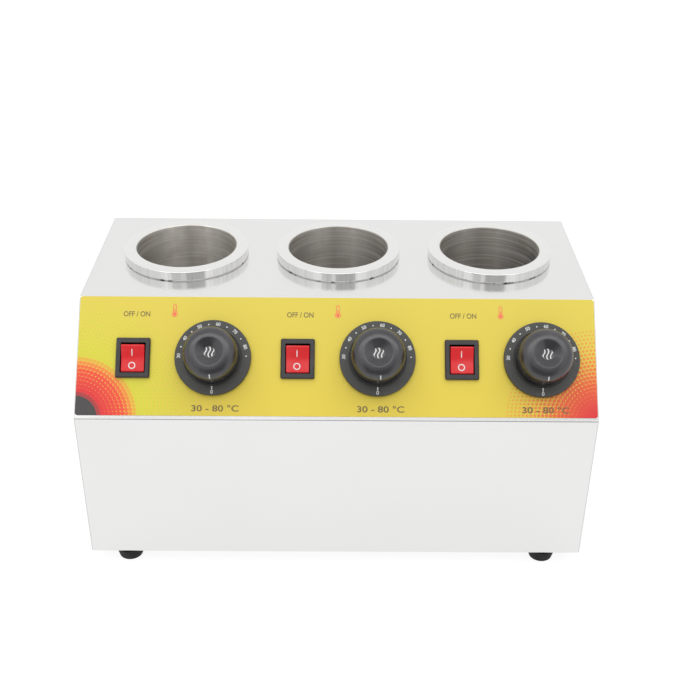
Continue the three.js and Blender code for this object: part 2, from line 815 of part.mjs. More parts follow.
function lockNutGeometry() {
  const nut = rod(lockNutRadius, -sheet - lockNutHeight, -sheet, hexSides);
  return cut(nut, rod(glandNeckRadius + fit, -sheet - lockNutHeight - overrun, overrun, smallSides));
}

function earthStudGeometry() {
  return turned([
    [0, -earthLength], [earthRadius, -earthLength], [earthRadius, 0], [earthHeadRadius, 0],
    [earthHeadRadius, earthHeadHeight / 2], [earthHeadRadius / 2, earthHeadHeight], [0, earthHeadHeight],
  ], smallSides);
}

function earthNutGeometry() {
  return cut(rod(earthNutRadius, -sheet - earthNutHeight, -sheet, hexSides),
    rod(earthRadius + fit, -sheet - earthNutHeight - overrun, overrun, smallSides));
}

[
  ['gland_body', glandBodyGeometry(), glandPlace, blackPlastic],
  ['gland_cap', glandCapGeometry(), glandPlace, blackPlastic],
  ['gland_seal', glandSealGeometry(), glandPlace, blackRubber],
  ['gland_lock_nut', lockNutGeometry(), glandPlace, blackPlastic],
  ['earth_stud', earthStudGeometry(), earthPlace, zincSteel],
  ['earth_nut', earthNutGeometry(), earthPlace, zincSteel],
].forEach(([name, geometry, place, finish]) => {
  add(warmer, name, onBackWall(geometry, place), finish);
});

// Terminal block on the base plate, in front of the gland

const blockX = glandPlace[0];
const blockY = backY - flangeWidth - blockWidth;

function terminalBlockGeometry() {
  const top = casingBottom + blockHeight;
  const body = block(centred(blockLength), centred(blockWidth), [casingBottom, top]);
  const steps = [-1, 1].map((side) =>
    block(centred(blockLength + 2 * overrun), [0, blockStepWidth + overrun],
      [casingBottom + blockStepHeight, top + overrun])
      .translate(0, side > 0 ? blockWidth / 2 - blockStepWidth : -blockWidth / 2 - overrun, 0));
  const pitch = blockLength / blockWires;
  const bores = Array.from({ length: blockWires }, (_, i) =>
    rod(blockWireRadius, ...centred(blockWidth + 2 * overrun), smallSides).rotateX(Math.PI / 2)
      .translate((i - (blockWires - 1) / 2) * pitch, 0, casingBottom + blockStepHeight / 2));
  return cut(body, ...steps, ...bores);
}

add(warmer, 'terminal_block', terminalBlockGeometry(), creamPlastic).position.set(blockX, blockY, 0);

// Wiring loom: a trunk along the front, with a wire to each switch, thermostat and heater, and a
// tail to the terminal block

function loomGeometry() {
  const trunkY = frontY + sheet + loomFromFront;
  const trunkZ = casingBottom + sheet + seat + loomRadius;
  const trunkEnd = wellPitch + knobOffset + loomOverhang;
  const trunk = crossRod(loomRadius, 2 * trunkEnd, tubeSides).translate(0, trunkY, trunkZ);
  const switchBack = -switchBodyDepth - bladeLength - seat;
  const thermostatBack = -sheet - seat - thermostatDepth - bladeLength - seat;
  const bandZ = bandBottom + bandHeight / 2 - bandTerminalRadius - seat;
  const terminalReach = bandInner + bandThickness + bandTerminalLength - bandTerminalRadius;
  const wires = stations.flatMap(({ x }) => {
    const toSwitch = onSlope(
      x + switchOffset + bladeSpacingX / 2, -switchDrop - bladeSpacingY / 2, switchBack);
    const toThermostat = onSlope(x + knobOffset, -knobDrop - thermostatBladeSpacing / 2, thermostatBack);
    const toHeater = new THREE.Vector3(
      x + terminalReach * Math.sin(bandTerminalAngle), wellY + terminalReach * Math.cos(bandTerminalAngle),
      bandZ);
    const risers = [toSwitch, toThermostat].map((end) => [
      new THREE.Vector3(end.x, trunkY, trunkZ), new THREE.Vector3(end.x, trunkY, trunkZ + wireRise),
      end.clone().addScaledVector(slopeInward, wireLead), end,
    ]);
    const heaterWire = [
      new THREE.Vector3(x, trunkY, trunkZ), new THREE.Vector3(x, trunkY + wireRise, trunkZ + wireLead),
      new THREE.Vector3(toHeater.x, wellY, trunkZ + wireLead),
      new THREE.Vector3(toHeater.x, toHeater.y, bandZ - wireRise), toHeater,
    ];
    return [...risers, heaterWire];
  }).map((points) => bentTube(points, wireRadius, wireSteps));
  const tail = bentTube([
    new THREE.Vector3(trunkEnd - loomOverhang, trunkY, trunkZ),
    new THREE.Vector3(trunkEnd + loomOverhang, trunkY + wireRise, trunkZ),
    new THREE.Vector3(trunkEnd + loomOverhang, 0, trunkZ),
    new THREE.Vector3(blockX, blockY - blockWidth / 2 - wireLead, trunkZ),
    new THREE.Vector3(blockX, blockY - blockWidth / 2 - seat, trunkZ),
  ], loomRadius * tailShare, wireSteps);
  return join(trunk, tail, ...wires);
}

add(warmer, 'wiring_loom', loomGeometry(), wireSheath);

warmer.add(slope);

export default warmer;
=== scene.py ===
"""The looks of a counter-top sauce warmer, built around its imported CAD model.

Shapes are drawn in millimetres, in the frame of the CAD model, and scaled to metres as they
become meshes. The slope frame has X to the right, Y up the slope and Z out of it.
"""

import json
import math

import bmesh
import bpy
from mathutils import Matrix, Vector


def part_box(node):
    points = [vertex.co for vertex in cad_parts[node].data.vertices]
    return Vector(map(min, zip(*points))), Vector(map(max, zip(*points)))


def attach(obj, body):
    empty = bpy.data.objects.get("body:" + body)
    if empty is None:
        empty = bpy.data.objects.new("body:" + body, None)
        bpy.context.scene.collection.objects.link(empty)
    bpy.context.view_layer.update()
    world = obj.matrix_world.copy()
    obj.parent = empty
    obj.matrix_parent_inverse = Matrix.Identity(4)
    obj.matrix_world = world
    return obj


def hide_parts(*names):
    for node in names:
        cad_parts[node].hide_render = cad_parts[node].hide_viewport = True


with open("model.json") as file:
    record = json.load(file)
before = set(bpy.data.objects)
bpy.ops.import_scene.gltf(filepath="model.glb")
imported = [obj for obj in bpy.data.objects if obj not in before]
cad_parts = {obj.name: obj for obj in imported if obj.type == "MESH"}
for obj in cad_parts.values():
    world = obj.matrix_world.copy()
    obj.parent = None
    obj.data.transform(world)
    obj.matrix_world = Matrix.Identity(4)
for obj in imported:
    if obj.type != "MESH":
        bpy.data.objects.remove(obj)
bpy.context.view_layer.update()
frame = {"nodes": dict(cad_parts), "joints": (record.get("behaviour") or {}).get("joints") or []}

MM = 0.001
SIDES = ("left", "middle", "right")

# Casing and overlay
CASING_LOW, CASING_HIGH = (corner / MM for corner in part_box("casing"))
FRONT_HEIGHT = 130.4
TOP_DEPTH = 151
SHEET = 1
FOLD_RADIUS = 1.2
END_RADIUS = 1
FLANGE = 20
OVERLAY_SIDE_INSET = 1
OVERLAY_TOP_INSET = 0.4
OVERLAY_BOTTOM_INSET = 2.9
OVERLAY_CORNER = 2
OVERLAY_BOTTOM = 0.2
OVERLAY_TOP = 0.6
OVERLAY_EDGE = 0.15

# Words and signs on the overlay: captions by height and width, and places on the slope
CAPTION = (4.2, 20.5)
CAPTION_ASIDE = 1.5
CAPTION_UP = 33.8
RANGE = (5.2, 36)
RANGE_ASIDE = 2.4
RANGE_UP = -39.2
SIGN_BULB = 2.3
SIGN_STEM = 1.35
SIGN_LENGTH = 10.2
SIGN_LINE = 0.55
THREAD_BULB = 1.3
THREAD_STEM = 0.35
THREAD_LENGTH = 5.2

# Rings of dots round the lower corners of the overlay
RING_PITCH = 3
LEFT_RINGS_REACH = 92
RIGHT_RINGS_REACH = 72

# Vents, and the holes that other pieces cover
REAR_VENT = (30, 3)
REAR_VENT_PITCH = 8
REAR_VENT_ROWS = 3
REAR_VENT_DROP = 42
BASE_VENT = (46, 3.2)
BASE_VENT_PITCH = 14
BASE_VENT_ROWS = 5
BASE_CORNER = 3
SCREW_HOLE = 2.3
SWITCH_HOLE = (22.2, 28.2)
BUSH_HOLE = 5.3
GLAND_HOLE = 8.3
STUD_HOLE = 2.8
ROUND_END_SHARE = 0.49

# Wells
WELL_BORE = 40.8
WELL_WALL = 3
WELL_FLOOR = 4
WELL_DEPTH = 155
WELL_FLOOR_CORNER = 3
WELL_SHOULDER = 2
WELL_BOTTOM_EDGE = 1
RIM_RADIUS = 51
RIM_HEIGHT = 7.2
RIM_UNDER_EDGE = 0.3
RIM_OUTER_EDGE = 0.8
RIM_INNER_EDGE = 0.7
GASKET_RADIUS = 50.85
GASKET_HEIGHT = 0.8
GASKET_EDGE = 0.2
HOLE_GAP = 0.3
BORE_BAND = (0.5, 1.2)
WALL_BAND = (0.5, 0.1)

# Switches
BEZEL = (26, 31)
BEZEL_BOTTOM = 0.9
BEZEL_TOP = 3.1
BEZEL_CHAMFER = 0.8
BEZEL_CORNER = 1.2
MOUTH = (19.2, 23.4)
MOUTH_CORNER = 0.5
SWITCH_BODY = (21.6, 27.6, 22)
SWITCH_BODY_CORNER = 0.8
ROCKER_WIDTH = 17.8
ROCKER_PIVOT = -1.5
ROCKER_TILT = math.radians(9)
ROCKER_EDGE = 1.1
ROCKER_SIDE_EDGE = 0.6
ROCKER_KEEL = 3.2
ROCKER_KEEL_REACH = 6
ROCKER_KEEL_EDGE = 0.5
ROCKER_RECESS = 0.6
ROCKER_GAP = 0.3
ROCKER_VALLEY = 14
MOUTH_CLEARANCE = 1.2
MARK_ASIDE = -0.5
ON_LINE = (0.7, 5.2, 0.2)
ON_LINE_UP = 4.6
OFF_RING = 2.7
OFF_RING_LINE = 0.75
OFF_RING_UP = -5.4

# Dials and knobs
DIAL_RADIUS = 29.2
DIAL_BORE = 9
DIAL_BOTTOM = 0.9
DIAL_TOP = 4.9
DIAL_LOWER_EDGE = 0.3
DIAL_UPPER_EDGE = 0.9
DIAL_RECESS = 22
DIAL_RECESS_DEPTH = 1.2
DIAL_RECESS_EDGE = 0.3
DIAL_FIRST = 30
DIAL_RISE = 10
DIAL_FIRST_DEGREES = 92
DIAL_STEP_DEGREES = 32
DIAL_NUMBERS = 6
NUMBER_HEIGHT = 2.7
NUMBER_RADIUS = 26
DOT = 0.55
DOT_RADIUS = 25.6
DOT_SIDES = 16
ZERO_HEIGHT = 3
ZERO_RADIUS = 26.7
ZERO_LINE = (0.9, 2.6)
ZERO_LINE_RADIUS = 23.6
KNOB_BOTTOM = 5.5
KNOB_TOP = 30.3
KNOB_BASE = 20.7
KNOB_CROWN = 20.1
KNOB_SHOULDER = 8.5
KNOB_LOWER_EDGE = 0.8
KNOB_DISH = 10.6
KNOB_DISH_FLOOR = 4.5
KNOB_DISH_DEPTH = 3.4
KNOB_DISH_LIP = 1.6
KNOB_DISH_CORNER = 3
KNOB_SOCKET = 3.3
KNOB_SOCKET_DEPTH = 17
HEAT_LINE = (0.9, 8, 0.8)
HEAT_LINE_PITCH = 2.8
POINTER_HALF_WIDTH = 0.45
POINTER_START = 20
POINTER_END = 50
POINTER_DEGREES = {"left": -2, "middle": -4.5, "right": -1}

# Feet and screws
FOOT_HEIGHT = 10.5
FOOT_TOP = 12
FOOT_BOTTOM = 9.4
FOOT_RECESS = 5
FOOT_RECESS_EDGE = 0.3
FOOT_LIP_EDGE = 0.5
FOOT_LOWER_EDGE = 0.9
FOOT_UPPER_EDGE = 0.5
SCREW_HEAD = 4.1
SCREW_HEAD_HEIGHT = 2.4
SCREW_SHANK = 2
SCREW_HEAD_EDGE = 1.2
SCREW_UNDER_EDGE = 0.2
SCREW_TIP_EDGE = 0.4
SCREW_SLOT = 1.1
SCREW_SLOT_DEPTH = 0.9

# Cord gland and earth stud: radii, and distances out of the back wall
GLAND_THREAD = 8
GLAND_BORE = 6
GLAND_FLANGE = 11.5
GLAND_FLANGE_TOP = 2
GLAND_NECK = 7.4
GLAND_TOP = 4.6
GLAND_INNER_END = -11
GLAND_INNER_EDGE = 0.4
GLAND_FLANGE_EDGE = 0.6
GLAND_EDGE = 0.2
CAP_RADIUS = 9.9
CAP_RIDGE = 0.3
CAP_RIDGES = 18
CAP_TOP = 6.4
CAP_EDGE = 1.2
CAP_MOUTH = 4.6
CAP_THREAD = 7.7
CAP_THREAD_TOP = 4.9
SEAL_BORE = 4.2
SEAL_RADIUS = 5.7
SEAL_INNER_END = -3.4
SEAL_BORE_EDGE = 0.3
SEAL_EDGE = 0.2
STUD_SHANK = 2.5
STUD_HEAD = 4.7
STUD_HEAD_TOP = 3
STUD_INNER_END = -14
STUD_SLOT = 1.2
STUD_INNER_EDGE = 0.4
STUD_UNDER_EDGE = 0.2
STUD_HEAD_EDGE = 1.5

# The room: its light, which grows overhead between two elevations, and its floor
ROOM_LIGHT = 1.03
ROOM_OVERHEAD = 1.9
OVERHEAD_START = math.radians(36)
OVERHEAD_FULL = math.radians(52)
FLOOR_REACH = 6000
FLOOR_TOP = -0.05
FLOOR_BOTTOM = -2
FLOOR_SHARE = 0.08
FLOOR_LIGHT = 0.9

# Cards that only gloss sees: bearings and elevations in degrees, and the light
CARD_THICKNESS = 3
CARD_DISTANCE = 1000
FLOOR_CARD_START = 480
FLOOR_CARD_BEARINGS = (-32, 34)
FLOOR_CARD_HEIGHT = 1
FLOOR_CARD_LIGHT = 0.4
CEILING_HEIGHT = 1400
CEILING_HALF_WIDTH = 3000
CEILING_FRONT = -450
CEILING_BACK = 4000
CEILING_LIGHT = 0.97
CARDS = {
    "card_pale_left": ((-48, -30), (19, 46), 1.15),
    "card_left": ((-29, -12), (19, 38), 0.78),
    "card_right": ((-4.5, 33), (19, 38), 0.57),
    "card_high": ((-29, 33), (38.1, 51), 0.98),
    "card_pale_right": ((34, 52), (19, 46), 1.15),
    "card_low": ((-32, 34), (-12, 19), 0.35)}

# How round the shapes are
FINE_SIDES = 128
SMALL_SIDES = 48
CORNER_STEPS = 6
EDGE_STEPS = 3
KNOB_STEPS = 8
PRINT_HEIGHT = 0.06

# Places worked out from the sizes above
FRONT_Y, BACK_Y = CASING_LOW.y, CASING_HIGH.y
BOTTOM_Z, TOP_Z = CASING_LOW.z, CASING_HIGH.z
HALF_WIDTH = CASING_HIGH.x
FOLD_Y = BACK_Y - TOP_DEPTH
BREAK_Z = BOTTOM_Z + FRONT_HEIGHT
SLOPE_LENGTH = math.hypot(FOLD_Y - FRONT_Y, TOP_Z - BREAK_Z)
SLOPE_ANGLE = math.atan2(TOP_Z - BREAK_Z, FOLD_Y - FRONT_Y)
SLOPE = (Matrix.Translation((0, (FRONT_Y + FOLD_Y) / 2, (BREAK_Z + TOP_Z) / 2))
         @ Matrix.Rotation(SLOPE_ANGLE, 4, "X"))
RIM_TOP = TOP_Z + GASKET_HEIGHT + RIM_HEIGHT
WELL_FLOOR_Z = RIM_TOP - WELL_DEPTH


def middle_of(node):
    """The middle of a CAD node's box, in millimetres."""
    low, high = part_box(node)
    return (low + high) / 2 / MM


def joint_place(name):
    """Where a joint sits, in slope coordinates."""
    joint = next(j for j in frame["joints"] if j["name"] == name)
    return SLOPE.inverted() @ (Vector(joint["pos_m"]) / MM)


WELL_PLACES = {side: middle_of(f"well_{side}") for side in SIDES}
SWITCH_PLACES = {side: joint_place(f"rocker_tip_{side}") for side in SIDES}
DIAL_PLACES = {side: joint_place(f"knob_turn_{side}") for side in SIDES}


# Shapes


class Form:
    """Points in millimetres and the faces between them."""

    def __init__(self, points, faces):
        self.points = [Vector(p) for p in points]
        self.faces = faces

    def moved(self, matrix):
        return Form([matrix @ p for p in self.points], self.faces)

    def at(self, x=0, y=0, z=0):
        return self.moved(Matrix.Translation((x, y, z)))

    def turned(self, degrees, axis="Z"):
        return self.moved(Matrix.Rotation(math.radians(degrees), 4, axis))

    def __add__(self, other):
        start = len(self.points)
        faces = [tuple(start + i for i in face) for face in other.faces]
        return Form(self.points + other.points, self.faces + faces)


def all_of(forms):
    whole = Form([], [])
    for form in forms:
        whole = whole + form
    return whole


def loft(rings, closed=False):
    """Rings of as many points each, joined in turn; the ends are capped unless the last ring
    joins the first."""
    count = len(rings[0])
    points = [p for ring in rings for p in ring]
    pairs = [(i, i + 1) for i in range(len(rings) - 1)]
    if closed:
        pairs.append((len(rings) - 1, 0))
    faces = []
    for low, high in pairs:
        for k in range(count):
            after = (k + 1) % count
            faces.append((low * count + k, low * count + after, high * count + after, high * count + k))
    if not closed:
        last = (len(rings) - 1) * count
        faces.append(tuple(reversed(range(count))))
        faces.append(tuple(range(last, last + count)))
    return Form(points, faces)


def rounded(corners, steps=CORNER_STEPS, closed=True):
    """The points of an outline of (a, b, radius) corners, with each corner on an arc."""
    points = []
    count = len(corners)
    for i, (a, b, radius) in enumerate(corners):
        corner = Vector((a, b))
        if not radius or (not closed and i in (0, count - 1)):
            points.append(corner)
            continue
        back = (Vector(corners[i - 1][:2]) - corner).normalized()
        ahead = (Vector(corners[(i + 1) % count][:2]) - corner).normalized()
        half = back.angle(ahead) / 2
        centre = corner + (back + ahead).normalized() * radius / math.sin(half)
        start = corner + back * radius / math.tan(half) - centre
        sweep = start.angle_signed(corner + ahead * radius / math.tan(half) - centre)
        for k in range(steps + 1):
            points.append(centre + Matrix.Rotation(-sweep * k / steps, 2) @ start)
    return points


def inset(points, distance):
    """An anticlockwise outline with every side moved inwards."""
    count = len(points)
    moved = []
    for i, point in enumerate(points):
        back = (point - points[i - 1]).normalized()
        ahead = (points[(i + 1) % count] - point).normalized()
        normal = Vector((-back.y - ahead.y, back.x + ahead.x)).normalized()
        across = normal.dot(Vector((-ahead.y, ahead.x)))
        moved.append(point + normal * distance / across)
    return moved


def turned(profile, sides=FINE_SIDES, steps=EDGE_STEPS):
    """A turned piece about Z. A profile of (radius, height, corner) that starts and ends on the
    axis makes a solid, and any other makes a ring."""
    solid = profile[0][0] == 0
    points = rounded(profile, steps, closed=not solid)
    if solid:
        points = points[1:-1]
    rings = []
    for p in points:
        angles = (2 * math.pi * k / sides for k in range(sides))
        rings.append([Vector((p.x * math.cos(t), p.x * math.sin(t), p.y)) for t in angles])
    return loft(rings, closed=not solid)


def rectangle(width, length, corner=0):
    x, y = width / 2, length / 2
    return rounded([(-x, -y, corner), (x, -y, corner), (x, y, corner), (-x, y, corner)])


def slab(outline, bottom, top, edge=0):
    """An outline between two heights, with its upper edge rounded off."""
    levels = [(bottom, 0)]
    if edge:
        for k in range(EDGE_STEPS + 1):
            turn = math.pi / 2 * k / EDGE_STEPS
            levels.append((top - edge + edge * math.sin(turn), edge - edge * math.cos(turn)))
    else:
        levels.append((top, 0))
    return loft([[Vector((*p, z)) for p in inset(outline, gap)] for z, gap in levels])


def rounded_ends(reach, edge):
    """The (x, inset) of each section of a bar along X whose end edges are rounded."""
    right = []
    for k in range(EDGE_STEPS + 1):
        turn = math.pi / 2 * k / EDGE_STEPS
        right.append((reach - edge * (1 - math.cos(turn)), edge * (1 - math.sin(turn))))
    return [(-x, gap) for x, gap in right] + right[::-1]


def block(width, length, bottom, top):
    return slab(rectangle(width, length), bottom, top)


def rod(radius, bottom, top, sides=SMALL_SIDES):
    return turned([(0, bottom, 0), (radius, bottom, 0), (radius, top, 0), (0, top, 0)], sides)


def slot_cutter(size, bottom, top):
    length, width = size
    return slab(rectangle(length, width, width * ROUND_END_SHARE), bottom, top)


def hoop(outline, width, top):
    """A flat line of some width that follows an outline on its inside."""
    levels = (0, 0), (0, top), (width, top), (width, 0)
    return loft([[Vector((*p, z)) for p in inset(outline, gap)] for gap, z in levels], closed=True)


def circle(radius, sides=SMALL_SIDES):
    angles = (2 * math.pi * k / sides for k in range(sides))
    return [Vector((radius * math.cos(t), radius * math.sin(t))) for t in angles]


def bulb_on_stem(bulb, stem, length, steps=24):
    """The outline of a thermometer, with its bulb about the origin."""
    neck = math.asin(stem / bulb)
    low, high = math.pi / 2 + neck, math.pi * 5 / 2 - neck
    turns = [low + (high - low) * k / steps for k in range(steps + 1)]
    points = [Vector((bulb * math.cos(t), bulb * math.sin(t))) for t in turns]
    top = length - bulb - stem
    ends = [math.pi * k / (steps // 2) for k in range(steps // 2 + 1)]
    return points + [Vector((stem * math.cos(t), top + stem * math.sin(t))) for t in ends]


def wave(width, length, sway, steps=16):
    """The outline of a wavy upright line."""
    heights = [length * (k / steps - 0.5) for k in range(steps + 1)]
    middles = [sway * math.sin(2 * math.pi * h / length) for h in heights]
    right = [Vector((m + width / 2, h)) for m, h in zip(middles, heights)]
    left = [Vector((m - width / 2, h)) for m, h in zip(middles, heights)]
    return right + left[::-1]


def lettering(words, height, width=None):
    """Words in plain letters, thin and centred, as tall as a capital should be."""
    curve_depth = 0.5
    boldness = 0.016
    curve = bpy.data.curves.new("lettering", "FONT")
    curve.body = words
    curve.extrude = curve_depth
    curve.offset = boldness
    curve.resolution_u = 4
    writer = bpy.data.objects.new("lettering", curve)
    bpy.context.scene.collection.objects.link(writer)
    seen = bpy.context.evaluated_depsgraph_get()
    mesh = bpy.data.meshes.new_from_object(writer.evaluated_get(seen))
    form = Form([v.co for v in mesh.vertices], [tuple(p.vertices) for p in mesh.polygons])
    bpy.data.objects.remove(writer)
    bpy.data.meshes.remove(mesh)
    bpy.data.curves.remove(curve)
    low = [min(p[i] for p in form.points) for i in range(2)]
    high = [max(p[i] for p in form.points) for i in range(2)]
    tall = height / (high[1] - low[1])
    wide = width / (high[0] - low[0]) if width else tall
    form = form.at(-(low[0] + high[0]) / 2, -(low[1] + high[1]) / 2, curve_depth)
    return form.moved(Matrix.Diagonal((wide, tall, PRINT_HEIGHT, 1)))


# From shapes to pieces


def raw_object(name, form):
    bm = bmesh.new()
    corners = [bm.verts.new(p * MM) for p in form.points]
    for face in form.faces:
        bm.faces.new([corners[i] for i in face])
    bmesh.ops.recalc_face_normals(bm, faces=bm.faces)
    mesh = bpy.data.meshes.new(name)
    bm.to_mesh(mesh)
    bm.free()
    made = bpy.data.objects.new(name, mesh)
    bpy.context.scene.collection.objects.link(made)
    return made


def carve(target, *forms):
    """Cuts each form out of the target, for good."""
    for form in forms:
        cutter = raw_object("cutter", form)
        modifier = target.modifiers.new("carve", "BOOLEAN")
        modifier.operation = "DIFFERENCE"
        modifier.solver = "EXACT"
        modifier.object = cutter
        seen = bpy.context.evaluated_depsgraph_get()
        carved = bpy.data.meshes.new_from_object(target.evaluated_get(seen))
        target.modifiers.clear()
        target.data = carved
        bpy.data.objects.remove(cutter)


def piece(name, form, body, material, stands_for=(), cuts=(), smooth=32):
    """A finished piece of the object, shaded smooth over its rounded edges."""
    made = raw_object(name, form)
    carve(made, *cuts)
    mesh = made.data
    for polygon in mesh.polygons:
        polygon.use_smooth = True
    mesh.set_sharp_from_angle(angle=math.radians(smooth))
    flats = made.modifiers.new("flats", "WEIGHTED_NORMAL")
    flats.keep_sharp = True
    mesh.materials.clear()
    mesh.materials.append(material)
    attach(made, body)
    if stands_for:
        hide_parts(*stands_for)
    return made


# Materials


class Finish:
    """One material and the nodes of its surface."""

    def __init__(self, name, colour, roughness, **settings):
        self.material = bpy.data.materials.new(name)
        self.material.use_nodes = True
        self.tree = self.material.node_tree
        self.shader = self.tree.nodes["Principled BSDF"]
        self.set("Base Color", (*colour, 1))
        self.set("Roughness", roughness)
        for socket, value in settings.items():
            self.set(socket.replace("_", " "), value)

    def set(self, socket, value):
        wanted = self.shader.inputs[socket]
        if isinstance(value, bpy.types.NodeSocket):
            self.tree.links.new(value, wanted)
        else:
            wanted.default_value = value

    def node(self, kind, inputs=(), **settings):
        """A node with its settings, and its inputs linked or set; gives the node."""
        made = self.tree.nodes.new(kind)
        for name, value in settings.items():
            setattr(made, name, value)
        for key, value in dict(inputs).items():
            if isinstance(value, bpy.types.NodeSocket):
                self.tree.links.new(value, made.inputs[key])
            else:
                made.inputs[key].default_value = value
        return made

    def place(self):
        return self.node("ShaderNodeTexCoord").outputs["Object"]

    def sum(self, operation, *values):
        return self.node("ShaderNodeMath", enumerate(values), operation=operation).outputs[0]

    def along(self, direction):
        """How far a point lies along a direction, in millimetres."""
        inputs = {0: self.place(), 1: Vector(direction) / MM}
        return self.node("ShaderNodeVectorMath", inputs, operation="DOT_PRODUCT").outputs["Value"]

    def noise(self, scale, stretch=(1, 1, 1), detail=3, source=None):
        """Noise from 0 to 1; the scale counts its grains in a metre."""
        moved = self.node("ShaderNodeMapping", {"Vector": source or self.place(), "Scale": stretch})
        inputs = {"Vector": moved.outputs[0], "Scale": scale, "Detail": detail}
        return self.node("ShaderNodeTexNoise", inputs).outputs["Fac"]

    def spread(self, value, low, high, start=0.0, end=1.0):
        """Maps a value from low and high to start and end, and holds it there."""
        inputs = {"Value": value, "From Min": low, "From Max": high, "To Min": start, "To Max": end}
        return self.node("ShaderNodeMapRange", inputs).outputs["Result"]

    def mixed(self, share, first, second):
        """A colour between two others; each is a socket or three numbers."""
        colours = [c if isinstance(c, bpy.types.NodeSocket) else (*c, 1) for c in (first, second)]
        inputs = {0: share, 6: colours[0], 7: colours[1]}
        return self.node("ShaderNodeMix", inputs, data_type="RGBA").outputs[2]

    def ramp(self, value, *stops):
        """A colour ramp with (place, colour) stops."""
        made = self.node("ShaderNodeValToRGB", {"Fac": value})
        band = made.color_ramp
        while len(band.elements) < len(stops):
            band.elements.new(1)
        for element, (place, colour) in zip(band.elements, stops):
            element.position = place
            element.color = (*colour, 1)
        return made.outputs["Color"]

    def bump(self, height, depth, strength=1.0):
        """Bumps of some depth in millimetres."""
        inputs = {"Height": height, "Distance": depth * MM, "Strength": strength}
        self.set("Normal", self.node("ShaderNodeBump", inputs).outputs["Normal"])


def srgb(red, green, blue):
    """A colour as a picture shows it, from 0 to 255, as light."""
    shares = (value / 255 for value in (red, green, blue))
    return tuple(s / 12.92 if s <= 0.04045 else ((s + 0.055) / 1.055) ** 2.4 for s in shares)


def steel_sheet():
    """Stainless sheet with its grain along X, or along Y on the end walls. The welded edges of the end
    walls are rougher, and painted shade darkens their colour."""
    end_wall, edge_start, edge_end = 0.7, 0.15, 0.95
    grain_scale, drawn_out = 900, 0.015
    polished, smudged, dull = 0.13, 0.2, 0.35
    finish = Finish("steel_sheet", (0.79, 0.79, 0.78), smudged, Metallic=1)
    facing = finish.node("ShaderNodeNewGeometry").outputs["True Normal"]
    sideways = finish.node("ShaderNodeSeparateXYZ", {0: facing}).outputs["X"]
    sideways = finish.sum("ABSOLUTE", sideways)
    on_end = finish.sum("GREATER_THAN", sideways, end_wall)
    dull_shaded_edge = finish.sum("MULTIPLY", finish.sum("GREATER_THAN", sideways, edge_start),
                        finish.sum("LESS_THAN", sideways, edge_end))
    long_grain = finish.noise(grain_scale, (drawn_out, 1, 1))
    end_grain = finish.noise(grain_scale, (1, drawn_out, 1))
    grain = finish.mixed(on_end, long_grain, end_grain)
    smudges = finish.noise(9, detail=5)
    polish = finish.spread(smudges, 0.35, 0.7, polished, smudged)
    finish.set("Roughness", finish.sum("MAXIMUM", polish, finish.sum("MULTIPLY", dull_shaded_edge, dull)))
    bright = finish.mixed(smudges, (0.775, 0.775, 0.77), (0.745, 0.745, 0.74))
    # Painted shade: the rounded edges at the end walls are painted darker
    finish.set("Base Color", finish.mixed(dull_shaded_edge, bright, (0.6, 0.6, 0.595)))
    finish.bump(grain, 0.004)
    return finish.material


